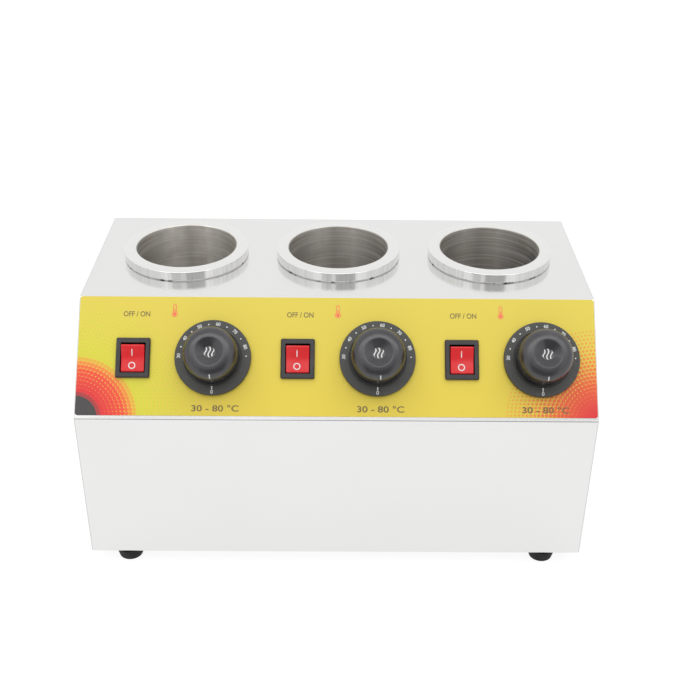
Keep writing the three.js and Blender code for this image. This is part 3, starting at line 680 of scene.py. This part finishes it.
def well_metal(side):
    """A spun well: a polished rim, and a bore with fine turning lines, stains and painted reflections:
    two bright streaks and darker sides painted into its colour. The painted reflections are dimmer in
    each well than in the one on its left."""
    # How bright the painted reflections in this well are
    painted_light_level = {"left": 1, "middle": 0.9, "right": 0.8}[side]
    warmth = 1, 0.98, 0.95
    # Painted reflections across the bore: painted shade at both sides, with two painted highlight
    # streaks between them
    painted_shade_side, painted_highlight, between = 115, 215, 180
    painted_light_greys = (0, painted_shade_side), (0.3, painted_highlight), (0.45, between), (0.65, painted_highlight), (1, painted_shade_side)
    stops = [(place, srgb(*(grey * painted_light_level * share for share in warmth))) for place, grey in painted_light_greys]
    finish = Finish(f"well_metal_{side}", (0.8, 0.8, 0.79), 0.12, Metallic=1)
    centre = WELL_PLACES[side] * MM
    inputs = {0: finish.place(), 1: (centre.x, centre.y, 0)}
    place = finish.node("ShaderNodeVectorMath", inputs, operation="SUBTRACT").outputs[0]
    parts = finish.node("ShaderNodeSeparateXYZ", {0: place}).outputs
    flat = finish.node("ShaderNodeCombineXYZ", {0: parts["X"], 1: parts["Y"]}).outputs[0]
    out = finish.node("ShaderNodeVectorMath", {0: flat}, operation="NORMALIZE").outputs[0]
    radius = finish.node("ShaderNodeVectorMath", {0: flat}, operation="LENGTH").outputs["Value"]
    bore_end, rim_start = (WELL_BORE + band for band in BORE_BAND)
    inside = finish.spread(radius, bore_end * MM, rim_start * MM, 1, 0)
    turn = finish.node("ShaderNodeSeparateXYZ", {0: out}).outputs["X"]
    bands = finish.noise(2.2, detail=5, source=out)
    stains = finish.noise(70, detail=6, source=place)
    lines = finish.noise(700, (0.02, 0.02, 1), source=place)
    # The bore's colour is painted light: bright streaks and shaded sides, set by how far each place
    # faces left or right
    side_on = finish.sum("ADD", turn, finish.spread(bands, 0, 1, -0.12, 0.12))
    bore = finish.ramp(finish.spread(side_on, -1, 1), *stops)
    stains_and_painted_light = finish.mixed(finish.spread(stains, 0.4, 0.7, 0, 0.45), bore, srgb(150, 141, 126))
    stains_and_painted_light = finish.mixed(finish.spread(lines, 0.45, 0.7, 0, 0.3), stains_and_painted_light, srgb(232, 230, 224))
    wear = finish.noise(26, detail=4, source=out)
    wall_start, wall_end = (RIM_RADIUS - band for band in WALL_BAND)
    on_wall = finish.spread(radius, wall_start * MM, wall_end * MM)
    worn = finish.sum("MULTIPLY", on_wall, finish.spread(wear, 0.42, 0.72, 0, 0.5))
    polish = finish.mixed(worn, srgb(230, 230, 228), srgb(200, 198, 194))
    finish.set("Base Color", finish.mixed(inside, polish, stains_and_painted_light))
    dull = finish.spread(stains, 0.3, 0.7, 0.4, 0.55)
    finish.set("Roughness", finish.spread(inside, 0, 1, 0.1, dull))
    finish.set("Metallic", finish.spread(inside, 0, 1, 1, 0.45))
    ripple = finish.sum("MULTIPLY", wear, finish.sum("MULTIPLY", on_wall, 6))
    finish.bump(finish.sum("ADD", lines, ripple), 0.008)
    return finish.material


def dot_rings(finish, along, up, reach, pitch, stops):
    """Rings of dots round a corner of the film, smaller and smaller out to the reach. Gives how
    inked a place is, and the colour of the ink there."""
    flat = finish.node("ShaderNodeCombineXYZ", {0: along, 1: up}).outputs[0]
    far = finish.node("ShaderNodeVectorMath", {0: flat}, operation="LENGTH").outputs["Value"]
    rings = finish.sum("DIVIDE", far, pitch)
    middle = finish.sum("ADD", finish.sum("FLOOR", rings), 0.5)
    beads = finish.sum("MULTIPLY", finish.sum("ARCTAN2", up, along), middle)
    offsets = [finish.sum("SUBTRACT", finish.sum("FRACT", v), 0.5) for v in (rings, beads)]
    offset = finish.node("ShaderNodeCombineXYZ", enumerate(offsets)).outputs[0]
    from_dot = finish.node("ShaderNodeVectorMath", {0: offset}, operation="LENGTH").outputs["Value"]
    share = finish.sum("DIVIDE", finish.sum("MULTIPLY", middle, pitch), reach)
    biggest, smallest, soft = 0.76, 0.2, 0.06
    gap = finish.sum("SUBTRACT", from_dot, finish.spread(share, 0.1, 1, biggest, smallest))
    dots = finish.spread(gap, -soft, soft, 1, 0)
    ink = finish.sum("MULTIPLY", dots, finish.sum("LESS_THAN", share, 1))
    return ink, finish.ramp(share, *stops)


def printed_film():
    """The overlay: yellow, with rings of dots that spread from its two lower corners."""
    finish = Finish("printed_film", srgb(186, 168, 60), 0.45, Specular_IOR_Level=0.2)
    slope_up = SLOPE.to_3x3() @ Vector((0, 1, 0))
    across = finish.along((1, 0, 0))
    up = finish.sum("SUBTRACT", finish.along(slope_up), slope_up.dot(Vector((0, FRONT_Y, BREAK_Z))))
    share_up = finish.sum("DIVIDE", up, SLOPE_LENGTH)
    colour = finish.mixed(share_up, srgb(186, 166, 57), srgb(184, 168, 65))
    from_left = finish.sum("ADD", across, HALF_WIDTH)
    from_right = finish.sum("SUBTRACT", HALF_WIDTH, across)
    left_stops = (
        (0.19, srgb(63, 61, 61)), (0.23, srgb(182, 40, 46)), (0.42, srgb(195, 69, 48)),
        (0.48, srgb(195, 119, 52)), (0.54, srgb(172, 172, 46)), (0.9, srgb(171, 172, 52)))
    right_stops = (0.1, srgb(182, 44, 48)), (0.4, srgb(192, 79, 48)), (0.8, srgb(197, 128, 56))
    left_rings = from_left, LEFT_RINGS_REACH, left_stops
    right_rings = from_right, RIGHT_RINGS_REACH, right_stops
    for along, reach, stops in left_rings, right_rings:
        ink, ring_colour = dot_rings(finish, along, up, reach, RING_PITCH, stops)
        colour = finish.mixed(ink, colour, ring_colour)
    finish.set("Base Color", colour)
    finish.bump(finish.noise(1400, detail=2), 0.004)
    return finish.material


def moulded(name, colour, roughness, grain=1200, depth=0.012, worn=0.25, specks=None, **settings):
    """Moulded plastic or rubber: a fine skin, and duller patches where hands or dust have been.
    It may have specks of another colour."""
    finish = Finish(name, colour, roughness, **settings)
    skin = finish.noise(grain, detail=2)
    patches = finish.noise(70, detail=5)
    ends = roughness * (1 - worn), roughness * (1 + worn)
    finish.set("Roughness", finish.spread(patches, 0.3, 0.7, *ends))
    dust, dusty = 0.6, 0.03
    paler = tuple(c + (dust - c) * dusty for c in colour)
    cover = finish.mixed(finish.spread(patches, 0.5, 0.8), colour, paler)
    if specks:
        cover = finish.mixed(finish.spread(finish.noise(170, detail=3), 0.56, 0.64), cover, specks)
    finish.set("Base Color", cover)
    finish.bump(skin, depth)
    return finish.material


def plated(name, colour, roughness, **settings):
    """Metal with a clouded surface: zinc plating, rolled copper or heater sheet."""
    finish = Finish(name, colour, roughness, Metallic=1, **settings)
    darker, smoother, rougher = 0.82, 0.8, 1.3
    clouds = finish.noise(140, detail=6)
    shade = tuple(c * darker for c in colour)
    finish.set("Base Color", finish.mixed(finish.spread(clouds, 0.35, 0.7), colour, shade))
    ends = roughness * smoother, roughness * rougher
    finish.set("Roughness", finish.spread(clouds, 0.3, 0.7, *ends))
    finish.bump(finish.noise(1500, detail=2), 0.006)
    return finish.material


def inks(name, colour):
    """Printing ink: flat, slightly uneven in its cover."""
    finish = Finish(name, colour, 0.5)
    thinnest = 0.86
    cover = finish.noise(900, detail=3)
    thin = tuple(c * thinnest for c in colour)
    finish.set("Base Color", finish.mixed(finish.spread(cover, 0.45, 0.75), colour, thin))
    finish.bump(cover, 0.01)
    return finish.material


STEEL = steel_sheet()
ZINC = plated("zinc_plate", (0.62, 0.63, 0.64), 0.36)
COPPER = plated("copper", (0.72, 0.42, 0.26), 0.32)
HEATER = plated("heater_sheet", (0.42, 0.42, 0.41), 0.42)
FILM = printed_film()
RUBBER = moulded(
    "rubber", (0.004, 0.004, 0.004), 0.7, grain=1600, depth=0.03, Specular_IOR_Level=0.25)
SILICONE = moulded(
    "silicone", (0.46, 0.455, 0.44), 0.5, grain=1500, depth=0.02, specks=(0.03, 0.03, 0.03))
BLACK = moulded("black_nylon", (0.024, 0.022, 0.024), 0.42, Specular_IOR_Level=0.35)
RED = moulded("red_rocker", srgb(181, 24, 29), 0.35, depth=0.004, Specular_IOR_Level=0.3)
CREAM = moulded("cream_plastic", (0.72, 0.66, 0.52), 0.5)
DIAL = moulded(
    "dial_plastic", (0.04, 0.04, 0.037), 0.45, grain=1500, depth=0.02, Specular_IOR_Level=0.35)
PHENOLIC = moulded(
    "phenolic", (0.007, 0.006, 0.009), 0.3, grain=1800, depth=0.006, worn=0.18,
    Specular_IOR_Level=0.88)
SHEATH = moulded("wire_sheath", (0.03, 0.03, 0.033), 0.55)
WHITE_INK = inks("white_ink", srgb(186, 188, 186))
DARK_INK = inks("dark_ink", srgb(98, 80, 40))
RED_INK = inks("red_ink", srgb(206, 78, 56))


# Casing and base


def casing_section(gap):
    corners = [(FRONT_Y, BOTTOM_Z), (BACK_Y, BOTTOM_Z), (BACK_Y, TOP_Z), (FOLD_Y, TOP_Z),
               (FRONT_Y, BREAK_Z)]
    return inset(rounded([(*corner, FOLD_RADIUS) for corner in corners]), gap)


def casing_between(ends):
    """The casing's section at each (x, inset) of the ends."""
    return loft([[Vector((x, *p)) for p in casing_section(gap)] for x, gap in ends])


def screw_places():
    feet = [middle_of(name) for name in frame["nodes"] if name.startswith("foot_screw")]
    base = [middle_of(name) for name in frame["nodes"] if name.startswith("base_screw")]
    return feet + base


def panel_holes(bottom, top):
    """What the switches and thermostats need, in slope coordinates."""
    for side in SIDES:
        switch, dial = SWITCH_PLACES[side], DIAL_PLACES[side]
        yield block(*SWITCH_HOLE, bottom, top).at(switch.x, switch.y)
        yield rod(BUSH_HOLE, bottom, top).at(dial.x, dial.y)


def on_back(form, x, z):
    """Stands a form drawn about Z out of the back wall."""
    return form.turned(-90, "X").at(x, BACK_Y, z)


def on_slope(place):
    """The matrix that stands a form drawn about Z out of the slope, at a place on it."""
    return SLOPE @ Matrix.Translation((place.x, place.y, 0))


def casing():
    outside = rounded_ends(HALF_WIDTH, END_RADIUS)
    inner = HALF_WIDTH - SHEET
    hollow = casing_between([(-inner, SHEET), (inner, SHEET)])
    width, length = 2 * (HALF_WIDTH - FLANGE), BACK_Y - FRONT_Y - 2 * FLANGE
    underside = block(width, length, BOTTOM_Z - SHEET, BOTTOM_Z + 2 * SHEET)
    wells = [rod(WELL_BORE + WELL_WALL + HOLE_GAP, TOP_Z - 2 * SHEET, TOP_Z + SHEET).at(p.x, p.y)
             for p in WELL_PLACES.values()]
    screws = [rod(SCREW_HOLE, BOTTOM_Z - SHEET, BOTTOM_Z + 2 * SHEET).at(p.x, p.y)
              for p in screw_places()]
    panel = [hole.moved(SLOPE) for hole in panel_holes(-2 * SHEET, SHEET)]
    vent = slot_cutter(REAR_VENT, -2 * SHEET, SHEET)
    vents = [on_back(vent, p.x, TOP_Z - REAR_VENT_DROP - row * REAR_VENT_PITCH)
             for p in WELL_PLACES.values() for row in range(REAR_VENT_ROWS)]
    gland, stud = middle_of("gland_body"), middle_of("earth_stud")
    fittings = [on_back(rod(GLAND_HOLE, -2 * SHEET, SHEET), gland.x, gland.z),
                on_back(rod(STUD_HOLE, -2 * SHEET, SHEET), stud.x, stud.z)]
    holes = [all_of(group) for group in (wells, screws, panel, vents, fittings)]
    piece("casing_shell", casing_between(outside), "root", STEEL, ["casing"],
          [hollow, underside, *holes])


def base_plate():
    low, high = (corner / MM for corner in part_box("base_plate"))
    plate = slab(rectangle(high.x - low.x, high.y - low.y, BASE_CORNER), low.z, high.z)
    vent = slot_cutter(BASE_VENT, low.z - SHEET, high.z + SHEET)
    first = -(BASE_VENT_ROWS - 1) / 2 * BASE_VENT_PITCH
    vents = [vent.at(p.x, first + row * BASE_VENT_PITCH)
             for p in WELL_PLACES.values() for row in range(BASE_VENT_ROWS)]
    holes = [rod(SCREW_HOLE, low.z - SHEET, high.z + SHEET).at(p.x, p.y) for p in screw_places()]
    piece("base_sheet", plate, "root", ZINC, ["base_plate"],
          [all_of(vents), all_of(holes)])


def feet_and_screws():
    foot = turned([
        (SCREW_HOLE, FOOT_RECESS, 0), (FOOT_RECESS, FOOT_RECESS, FOOT_RECESS_EDGE),
        (FOOT_RECESS, 0, FOOT_LIP_EDGE), (FOOT_BOTTOM, 0, FOOT_LOWER_EDGE),
        (FOOT_TOP, FOOT_HEIGHT, FOOT_UPPER_EDGE), (SCREW_HOLE, FOOT_HEIGHT, 0)], SMALL_SIDES)
    for node in sorted(frame["nodes"]):
        place = middle_of(node)
        if node.startswith("foot_screw") or node.startswith("base_screw"):
            low, high = (corner.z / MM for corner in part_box(node))
            under = low + SCREW_HEAD_HEIGHT
            screw = turned([
                (0, low, 0), (SCREW_HEAD, low, SCREW_HEAD_EDGE),
                (SCREW_HEAD, under, SCREW_UNDER_EDGE), (SCREW_SHANK, under, 0),
                (SCREW_SHANK, high, SCREW_TIP_EDGE), (0, high, 0)], SMALL_SIDES)
            slot = block(3 * SCREW_HEAD, SCREW_SLOT, low - SHEET, low + SCREW_SLOT_DEPTH)
            piece(f"{node}_turned", screw.at(place.x, place.y), "root", ZINC,
                  [node], [slot.at(place.x, place.y)])
        elif node.startswith("foot_"):
            piece(f"{node}_moulded", foot.at(place.x, place.y), "root", RUBBER, [node])


# Wells


def well(side):
    place = WELL_PLACES[side]
    cup = WELL_BORE + WELL_WALL
    under = RIM_TOP - RIM_HEIGHT
    bottom = WELL_FLOOR_Z - WELL_FLOOR
    form = turned([
        (0, bottom, 0), (cup - WELL_FLOOR, bottom, WELL_BOTTOM_EDGE),
        (cup, WELL_FLOOR_Z, WELL_SHOULDER), (cup, under, 0), (RIM_RADIUS, under, RIM_UNDER_EDGE),
        (RIM_RADIUS, RIM_TOP, RIM_OUTER_EDGE), (WELL_BORE, RIM_TOP, RIM_INNER_EDGE),
        (WELL_BORE, WELL_FLOOR_Z, WELL_FLOOR_CORNER), (0, WELL_FLOOR_Z, 0)], steps=CORNER_STEPS)
    piece(f"well_cup_{side}", form.at(place.x, place.y), "root", well_metal(side),
          [f"well_{side}"])
    seal = turned([
        (cup + HOLE_GAP, TOP_Z, 0), (GASKET_RADIUS, TOP_Z, GASKET_EDGE),
        (GASKET_RADIUS, under, GASKET_EDGE), (cup + HOLE_GAP, under, 0)])
    piece(f"gasket_ring_{side}", seal.at(place.x, place.y), "root", SILICONE,
          [f"well_gasket_{side}"])


# Overlay and its print


def overlay():
    length = SLOPE_LENGTH - OVERLAY_TOP_INSET - OVERLAY_BOTTOM_INSET
    film = slab(rectangle(2 * (HALF_WIDTH - OVERLAY_SIDE_INSET), length, OVERLAY_CORNER),
                OVERLAY_BOTTOM, OVERLAY_TOP, OVERLAY_EDGE)
    film = film.at(0, (OVERLAY_BOTTOM_INSET - OVERLAY_TOP_INSET) / 2)
    holes = all_of(panel_holes(0, OVERLAY_TOP + SHEET)).moved(SLOPE)
    piece("overlay_film", film.moved(SLOPE), "root", FILM, ["control_overlay"],
          [holes])


def thermometer_sign():
    """A small thermometer: an outline, and the filled bulb and thread inside it."""
    outline = bulb_on_stem(SIGN_BULB, SIGN_STEM, SIGN_LENGTH)
    thread = bulb_on_stem(THREAD_BULB, THREAD_STEM, THREAD_LENGTH)
    return hoop(outline, SIGN_LINE, PRINT_HEIGHT) + slab(thread, 0, PRINT_HEIGHT)


def overlay_print():
    level = OVERLAY_TOP - PRINT_HEIGHT / 2
    for side in SIDES:
        switch, dial = SWITCH_PLACES[side], DIAL_PLACES[side]
        captions = (lettering("OFF / ON", *CAPTION).at(switch.x + CAPTION_ASIDE, CAPTION_UP, level)
                    + lettering("30 - 80 °C", *RANGE).at(dial.x + RANGE_ASIDE, RANGE_UP, level))
        piece(f"captions_{side}", captions.moved(SLOPE), "root", DARK_INK)
        sign = thermometer_sign().at((switch.x + dial.x) / 2, CAPTION_UP, level)
        piece(f"heat_sign_{side}", sign.moved(SLOPE), "root", RED_INK)


# Switches


def switch_frame(side):
    place = on_slope(SWITCH_PLACES[side])
    width, length, depth = SWITCH_BODY
    body = rectangle(width, length, SWITCH_BODY_CORNER)
    bezel = rectangle(*BEZEL, BEZEL_CORNER)
    levels = [(-depth, body, 0), (BEZEL_BOTTOM, body, 0), (BEZEL_BOTTOM, bezel, 0),
              (BEZEL_TOP - BEZEL_CHAMFER, bezel, 0), (BEZEL_TOP, bezel, BEZEL_CHAMFER)]
    form = loft([[Vector((*p, z)) for p in inset(outline, gap)] for z, outline, gap in levels])
    mouth_floor = ROCKER_PIVOT - ROCKER_KEEL - MOUTH_CLEARANCE
    mouth = slab(rectangle(*MOUTH, MOUTH_CORNER), mouth_floor, BEZEL_TOP + SHEET)
    piece(f"switch_bezel_{side}", form.moved(place), "root", BLACK,
          [f"switch_frame_{side}"], [mouth.moved(place)])


def rocker_sizes():
    """The valley's height over the pivot, and the half length, as in the CAD model."""
    depth = BEZEL_TOP - ROCKER_PIVOT
    valley = (depth - ROCKER_RECESS) / math.cos(ROCKER_TILT)
    reach = MOUTH[1] / 2 - ROCKER_GAP - valley * math.sin(ROCKER_TILT)
    return valley, reach * math.cos(ROCKER_TILT)


def rocker(side):
    place = SLOPE @ Matrix.Translation(SWITCH_PLACES[side]) @ Matrix.Rotation(ROCKER_TILT, 4, "X")
    body = f"rocker_{side}"
    valley, half = rocker_sizes()
    rise = math.tan(ROCKER_TILT)
    end = valley + half * rise
    outline = rounded([
        (-ROCKER_KEEL_REACH, -ROCKER_KEEL, ROCKER_KEEL_EDGE),
        (ROCKER_KEEL_REACH, -ROCKER_KEEL, ROCKER_KEEL_EDGE), (half, 0, ROCKER_KEEL_EDGE),
        (half, end, ROCKER_EDGE), (0, valley, ROCKER_VALLEY), (-half, end, ROCKER_EDGE),
        (-half, 0, ROCKER_KEEL_EDGE)])
    ends = rounded_ends(ROCKER_WIDTH / 2, ROCKER_SIDE_EDGE)
    cap = loft([[Vector((x, *p)) for p in inset(outline, gap)] for x, gap in ends])
    piece(f"rocker_cap_{side}", cap.moved(place), body, RED, [body])
    tilt = math.degrees(ROCKER_TILT)
    middle = valley - PRINT_HEIGHT / 2
    line = slab(rectangle(*ON_LINE), 0, PRINT_HEIGHT).turned(tilt, "X")
    line = line.at(MARK_ASIDE, ON_LINE_UP, middle + ON_LINE_UP * rise)
    ring = hoop(circle(OFF_RING), OFF_RING_LINE, PRINT_HEIGHT).turned(-tilt, "X")
    ring = ring.at(MARK_ASIDE, OFF_RING_UP, middle - OFF_RING_UP * rise)
    piece(f"rocker_marks_{side}", (line + ring).moved(place), body, WHITE_INK)


# Dials and knobs


def dial(side):
    place = on_slope(DIAL_PLACES[side])
    ring = turned([
        (DIAL_BORE, DIAL_BOTTOM, 0), (DIAL_RADIUS, DIAL_BOTTOM, DIAL_LOWER_EDGE),
        (DIAL_RADIUS, DIAL_TOP, DIAL_UPPER_EDGE), (DIAL_RECESS, DIAL_TOP, DIAL_RECESS_EDGE),
        (DIAL_RECESS, DIAL_TOP - DIAL_RECESS_DEPTH, 0), (DIAL_BORE, DIAL_TOP - DIAL_RECESS_DEPTH, 0)])
    piece(f"dial_disc_{side}", ring.moved(place), "root", DIAL,
          [f"dial_ring_{side}"])
    level = DIAL_TOP - PRINT_HEIGHT / 2
    marks = (block(*ZERO_LINE, 0, PRINT_HEIGHT).at(0, -ZERO_LINE_RADIUS)
             + lettering("0", ZERO_HEIGHT).turned(180).at(0, -ZERO_RADIUS))
    for index in range(DIAL_NUMBERS):
        turn = 180 - DIAL_FIRST_DEGREES - index * DIAL_STEP_DEGREES
        number = lettering(str(DIAL_FIRST + DIAL_RISE * index), NUMBER_HEIGHT).at(0, NUMBER_RADIUS)
        dot = rod(DOT, 0, PRINT_HEIGHT, DOT_SIDES).at(0, DOT_RADIUS)
        marks = marks + number.turned(turn) + dot.turned(turn - DIAL_STEP_DEGREES / 2)
    piece(f"dial_print_{side}", marks.at(0, 0, level).moved(place), "root", WHITE_INK)


def pointer():
    """A short white line on the knob's round shoulder."""
    under, over = -0.3, 0.05
    lean = math.atan2(KNOB_BASE - KNOB_CROWN, KNOB_TOP - KNOB_BOTTOM)
    shoulder = KNOB_TOP - KNOB_SHOULDER
    side_there = KNOB_BASE - (shoulder - KNOB_BOTTOM) * math.tan(lean)
    centre = side_there - KNOB_SHOULDER / math.cos(lean)
    path = []
    for k in range(CORNER_STEPS + 1):
        turn = math.radians(POINTER_START + (POINTER_END - POINTER_START) * k / CORNER_STEPS)
        radius = centre + KNOB_SHOULDER * math.cos(turn)
        path.append((radius, shoulder + KNOB_SHOULDER * math.sin(turn), turn))
    edges = [(-POINTER_HALF_WIDTH, under), (POINTER_HALF_WIDTH, under),
             (POINTER_HALF_WIDTH, over), (-POINTER_HALF_WIDTH, over)]
    return loft([
        [Vector((x, -radius - out * math.cos(turn), height + out * math.sin(turn))) for x, out in edges]
        for radius, height, turn in path])


def knob(side):
    place = on_slope(DIAL_PLACES[side])
    body = f"knob_{side}"
    floor = KNOB_TOP - KNOB_DISH_DEPTH
    cap = turned([
        (0, KNOB_BOTTOM, 0), (KNOB_BASE, KNOB_BOTTOM, KNOB_LOWER_EDGE),
        (KNOB_CROWN, KNOB_TOP, KNOB_SHOULDER), (KNOB_DISH, KNOB_TOP, KNOB_DISH_LIP),
        (KNOB_DISH_FLOOR, floor, KNOB_DISH_CORNER), (0, floor, 0)], steps=KNOB_STEPS)
    bore = rod(KNOB_SOCKET, KNOB_BOTTOM - SHEET, KNOB_BOTTOM + KNOB_SOCKET_DEPTH)
    piece(f"knob_cap_{side}", cap.moved(place), body, PHENOLIC, [body],
          [bore.moved(place)])
    line = slab(wave(*HEAT_LINE), 0, PRINT_HEIGHT)
    sign = all_of([line.at(x, 0) for x in (-HEAT_LINE_PITCH, 0, HEAT_LINE_PITCH)])
    marks = sign.at(0, 0, floor - PRINT_HEIGHT / 2) + pointer().turned(-POINTER_DEGREES[side])
    piece(f"knob_marks_{side}", marks.moved(place), body, WHITE_INK)


# Back wall fittings


def back_fittings():
    gland, stud = middle_of("gland_body"), middle_of("earth_stud")
    flange = turned([
        (GLAND_BORE, GLAND_INNER_END, 0), (GLAND_THREAD, GLAND_INNER_END, GLAND_INNER_EDGE),
        (GLAND_THREAD, 0, 0), (GLAND_FLANGE, 0, GLAND_EDGE),
        (GLAND_FLANGE, GLAND_FLANGE_TOP, GLAND_FLANGE_EDGE), (GLAND_NECK, GLAND_FLANGE_TOP, 0),
        (GLAND_NECK, GLAND_TOP, GLAND_EDGE), (GLAND_BORE, GLAND_TOP, GLAND_EDGE)])
    piece("gland_flange", on_back(flange, gland.x, gland.z), "root", BLACK,
          ["gland_body"])
    steps_to_a_ridge = 8
    points = CAP_RIDGES * steps_to_a_ridge
    lobes = []
    for k in range(points):
        angle = 2 * math.pi * k / points
        radius = CAP_RADIUS + CAP_RIDGE * math.cos(CAP_RIDGES * angle)
        lobes.append(Vector((radius * math.cos(angle), radius * math.sin(angle))))
    cap = slab(lobes, GLAND_FLANGE_TOP, CAP_TOP, CAP_EDGE)
    bores = [rod(CAP_MOUTH, 0, CAP_TOP + SHEET), rod(CAP_THREAD, 0, CAP_THREAD_TOP)]
    piece("gland_grip_cap", on_back(cap, gland.x, gland.z), "root", BLACK,
          ["gland_cap"], [on_back(bore, gland.x, gland.z) for bore in bores])
    seal = turned([
        (SEAL_BORE, SEAL_INNER_END, SEAL_BORE_EDGE), (SEAL_RADIUS, SEAL_INNER_END, SEAL_EDGE),
        (SEAL_RADIUS, GLAND_TOP, SEAL_EDGE), (SEAL_BORE, GLAND_TOP, SEAL_BORE_EDGE)])
    piece("gland_seal_ring", on_back(seal, gland.x, gland.z), "root", RUBBER,
          ["gland_seal"])
    screw = turned([
        (0, STUD_INNER_END, 0), (STUD_SHANK, STUD_INNER_END, STUD_INNER_EDGE), (STUD_SHANK, 0, 0),
        (STUD_HEAD, 0, STUD_UNDER_EDGE), (STUD_HEAD, STUD_HEAD_TOP, STUD_HEAD_EDGE),
        (0, STUD_HEAD_TOP, 0)], SMALL_SIDES)
    slot = block(3 * STUD_HEAD, STUD_SLOT, STUD_HEAD_TOP - SHEET, STUD_HEAD_TOP + SHEET)
    piece("earth_screw", on_back(screw, stud.x, stud.z), "root", ZINC, ["earth_stud"],
          [on_back(slot, stud.x, stud.z)])


def inner_parts():
    """The CAD nodes that stay as they are, inside the casing."""
    finishes = {
        "well_clamp": ZINC, "heater_band": HEATER, "sensor_bulb": COPPER, "thermostat_shaft": ZINC,
        "thermostat_": CREAM, "gland_lock_nut": BLACK, "earth_nut": ZINC, "terminal_block": CREAM,
        "wiring_loom": SHEATH}
    for name, node in frame["nodes"].items():
        for start, material in finishes.items():
            if name.startswith(start):
                node.material_slots[0].material = material
                break


# Camera, light and floor


def camera():
    """The photograph's camera, fitted to the casing's corners, the rims and the dials."""
    place = Vector((1.12, -790.78, 607.29))
    yaw, pitch, roll = 0.0119, 0.5326, 0.0128
    focal_pixels, picture_pixels, sensor = 1085.7, 700, 36
    nearest = 0.01
    ahead = Vector((math.sin(yaw) * math.cos(pitch), math.cos(yaw) * math.cos(pitch), -math.sin(pitch)))
    level = Vector((math.cos(yaw), -math.sin(yaw), 0))
    upright = level.cross(ahead)
    right = math.cos(roll) * level + math.sin(roll) * upright
    up = math.cos(roll) * upright - math.sin(roll) * level
    data = bpy.data.cameras.new("camera")
    data.sensor_width = sensor
    data.sensor_fit = "HORIZONTAL"
    data.lens = focal_pixels / picture_pixels * sensor
    data.clip_start = nearest
    made = bpy.data.objects.new("camera", data)
    bpy.context.scene.collection.objects.link(made)
    turn = Matrix((right, up, -ahead)).transposed()
    made.matrix_world = Matrix.Translation(place * MM) @ turn.to_4x4()
    bpy.context.scene.camera = made


def room():
    """A white room, brighter overhead."""
    world = bpy.data.worlds.new("studio")
    world.use_nodes = True
    tree = world.node_tree
    way = tree.nodes.new("ShaderNodeTexCoord").outputs["Generated"]
    parts = tree.nodes.new("ShaderNodeSeparateXYZ")
    tree.links.new(way, parts.inputs[0])
    rise = tree.nodes.new("ShaderNodeMapRange")
    rise.interpolation_type = "SMOOTHSTEP"
    tree.links.new(parts.outputs["Z"], rise.inputs["Value"])
    rise.inputs["From Min"].default_value = math.sin(OVERHEAD_START)
    rise.inputs["From Max"].default_value = math.sin(OVERHEAD_FULL)
    rise.inputs["To Min"].default_value = ROOM_LIGHT
    rise.inputs["To Max"].default_value = ROOM_LIGHT * (1 + ROOM_OVERHEAD)
    background = tree.nodes["Background"]
    background.inputs["Color"].default_value = (1, 1, 1, 1)
    tree.links.new(rise.outputs["Result"], background.inputs["Strength"])
    bpy.context.scene.world = world


def glowing(name, share, light):
    """A plain matt finish with a light of its own."""
    paint = Finish(name, (share, share, share), 0.9)
    paint.set("Emission Color", (1, 1, 1, 1))
    paint.set("Emission Strength", light)
    return paint.material


def gloss_only(name, form, light):
    """A card that only gloss sees."""
    card = raw_object(name, form)
    card.data.materials.append(glowing(f"{name}_paint", 0, light))
    card.visible_camera = False
    card.visible_diffuse = False
    card.visible_shadow = False


def grey_card(name, bearings, near, far, light):
    """An upright or lying card between two places of (distance, height) and two bearings from
    the front."""
    steps = 12
    rings = []
    for k in range(steps + 1):
        turn = math.radians(bearings[0] + (bearings[1] - bearings[0]) * k / steps)
        back = [(out + CARD_THICKNESS, up + CARD_THICKNESS) for out, up in (far, near)]
        section = [near, far, *back]
        rings.append([Vector((distance * math.sin(turn), -distance * math.cos(turn), height))
                      for distance, height in section])
    gloss_only(name, loft(rings), light)


def grey_cards():
    """What stands behind the camera, as far as gloss is concerned."""
    for name, (bearings, elevations, light) in CARDS.items():
        low, high = (RIM_TOP + CARD_DISTANCE * math.tan(math.radians(e)) for e in elevations)
        grey_card(name, bearings, (CARD_DISTANCE, low), (CARD_DISTANCE, high), light)
    grey_card("card_floor", FLOOR_CARD_BEARINGS, (FLOOR_CARD_START, FLOOR_CARD_HEIGHT),
              (CARD_DISTANCE, FLOOR_CARD_HEIGHT), FLOOR_CARD_LIGHT)
    ceiling = block(2 * CEILING_HALF_WIDTH, CEILING_BACK - CEILING_FRONT, CEILING_HEIGHT,
                    CEILING_HEIGHT + CARD_THICKNESS)
    gloss_only("card_ceiling", ceiling.at(0, (CEILING_FRONT + CEILING_BACK) / 2), CEILING_LIGHT)


def studio():
    """Soft light from the room, and a plain white floor."""
    room()
    bpy.context.scene.view_settings.view_transform = "Standard"
    floor = raw_object("floor", block(2 * FLOOR_REACH, 2 * FLOOR_REACH, FLOOR_BOTTOM, FLOOR_TOP))
    floor.data.materials.append(glowing("floor_paint", FLOOR_SHARE, FLOOR_LIGHT))
    grey_cards()


camera()
studio()
casing()
base_plate()
feet_and_screws()
overlay()
overlay_print()
for side in SIDES:
    well(side)
    switch_frame(side)
    rocker(side)
    dial(side)
    knob(side)
back_fittings()
inner_parts()
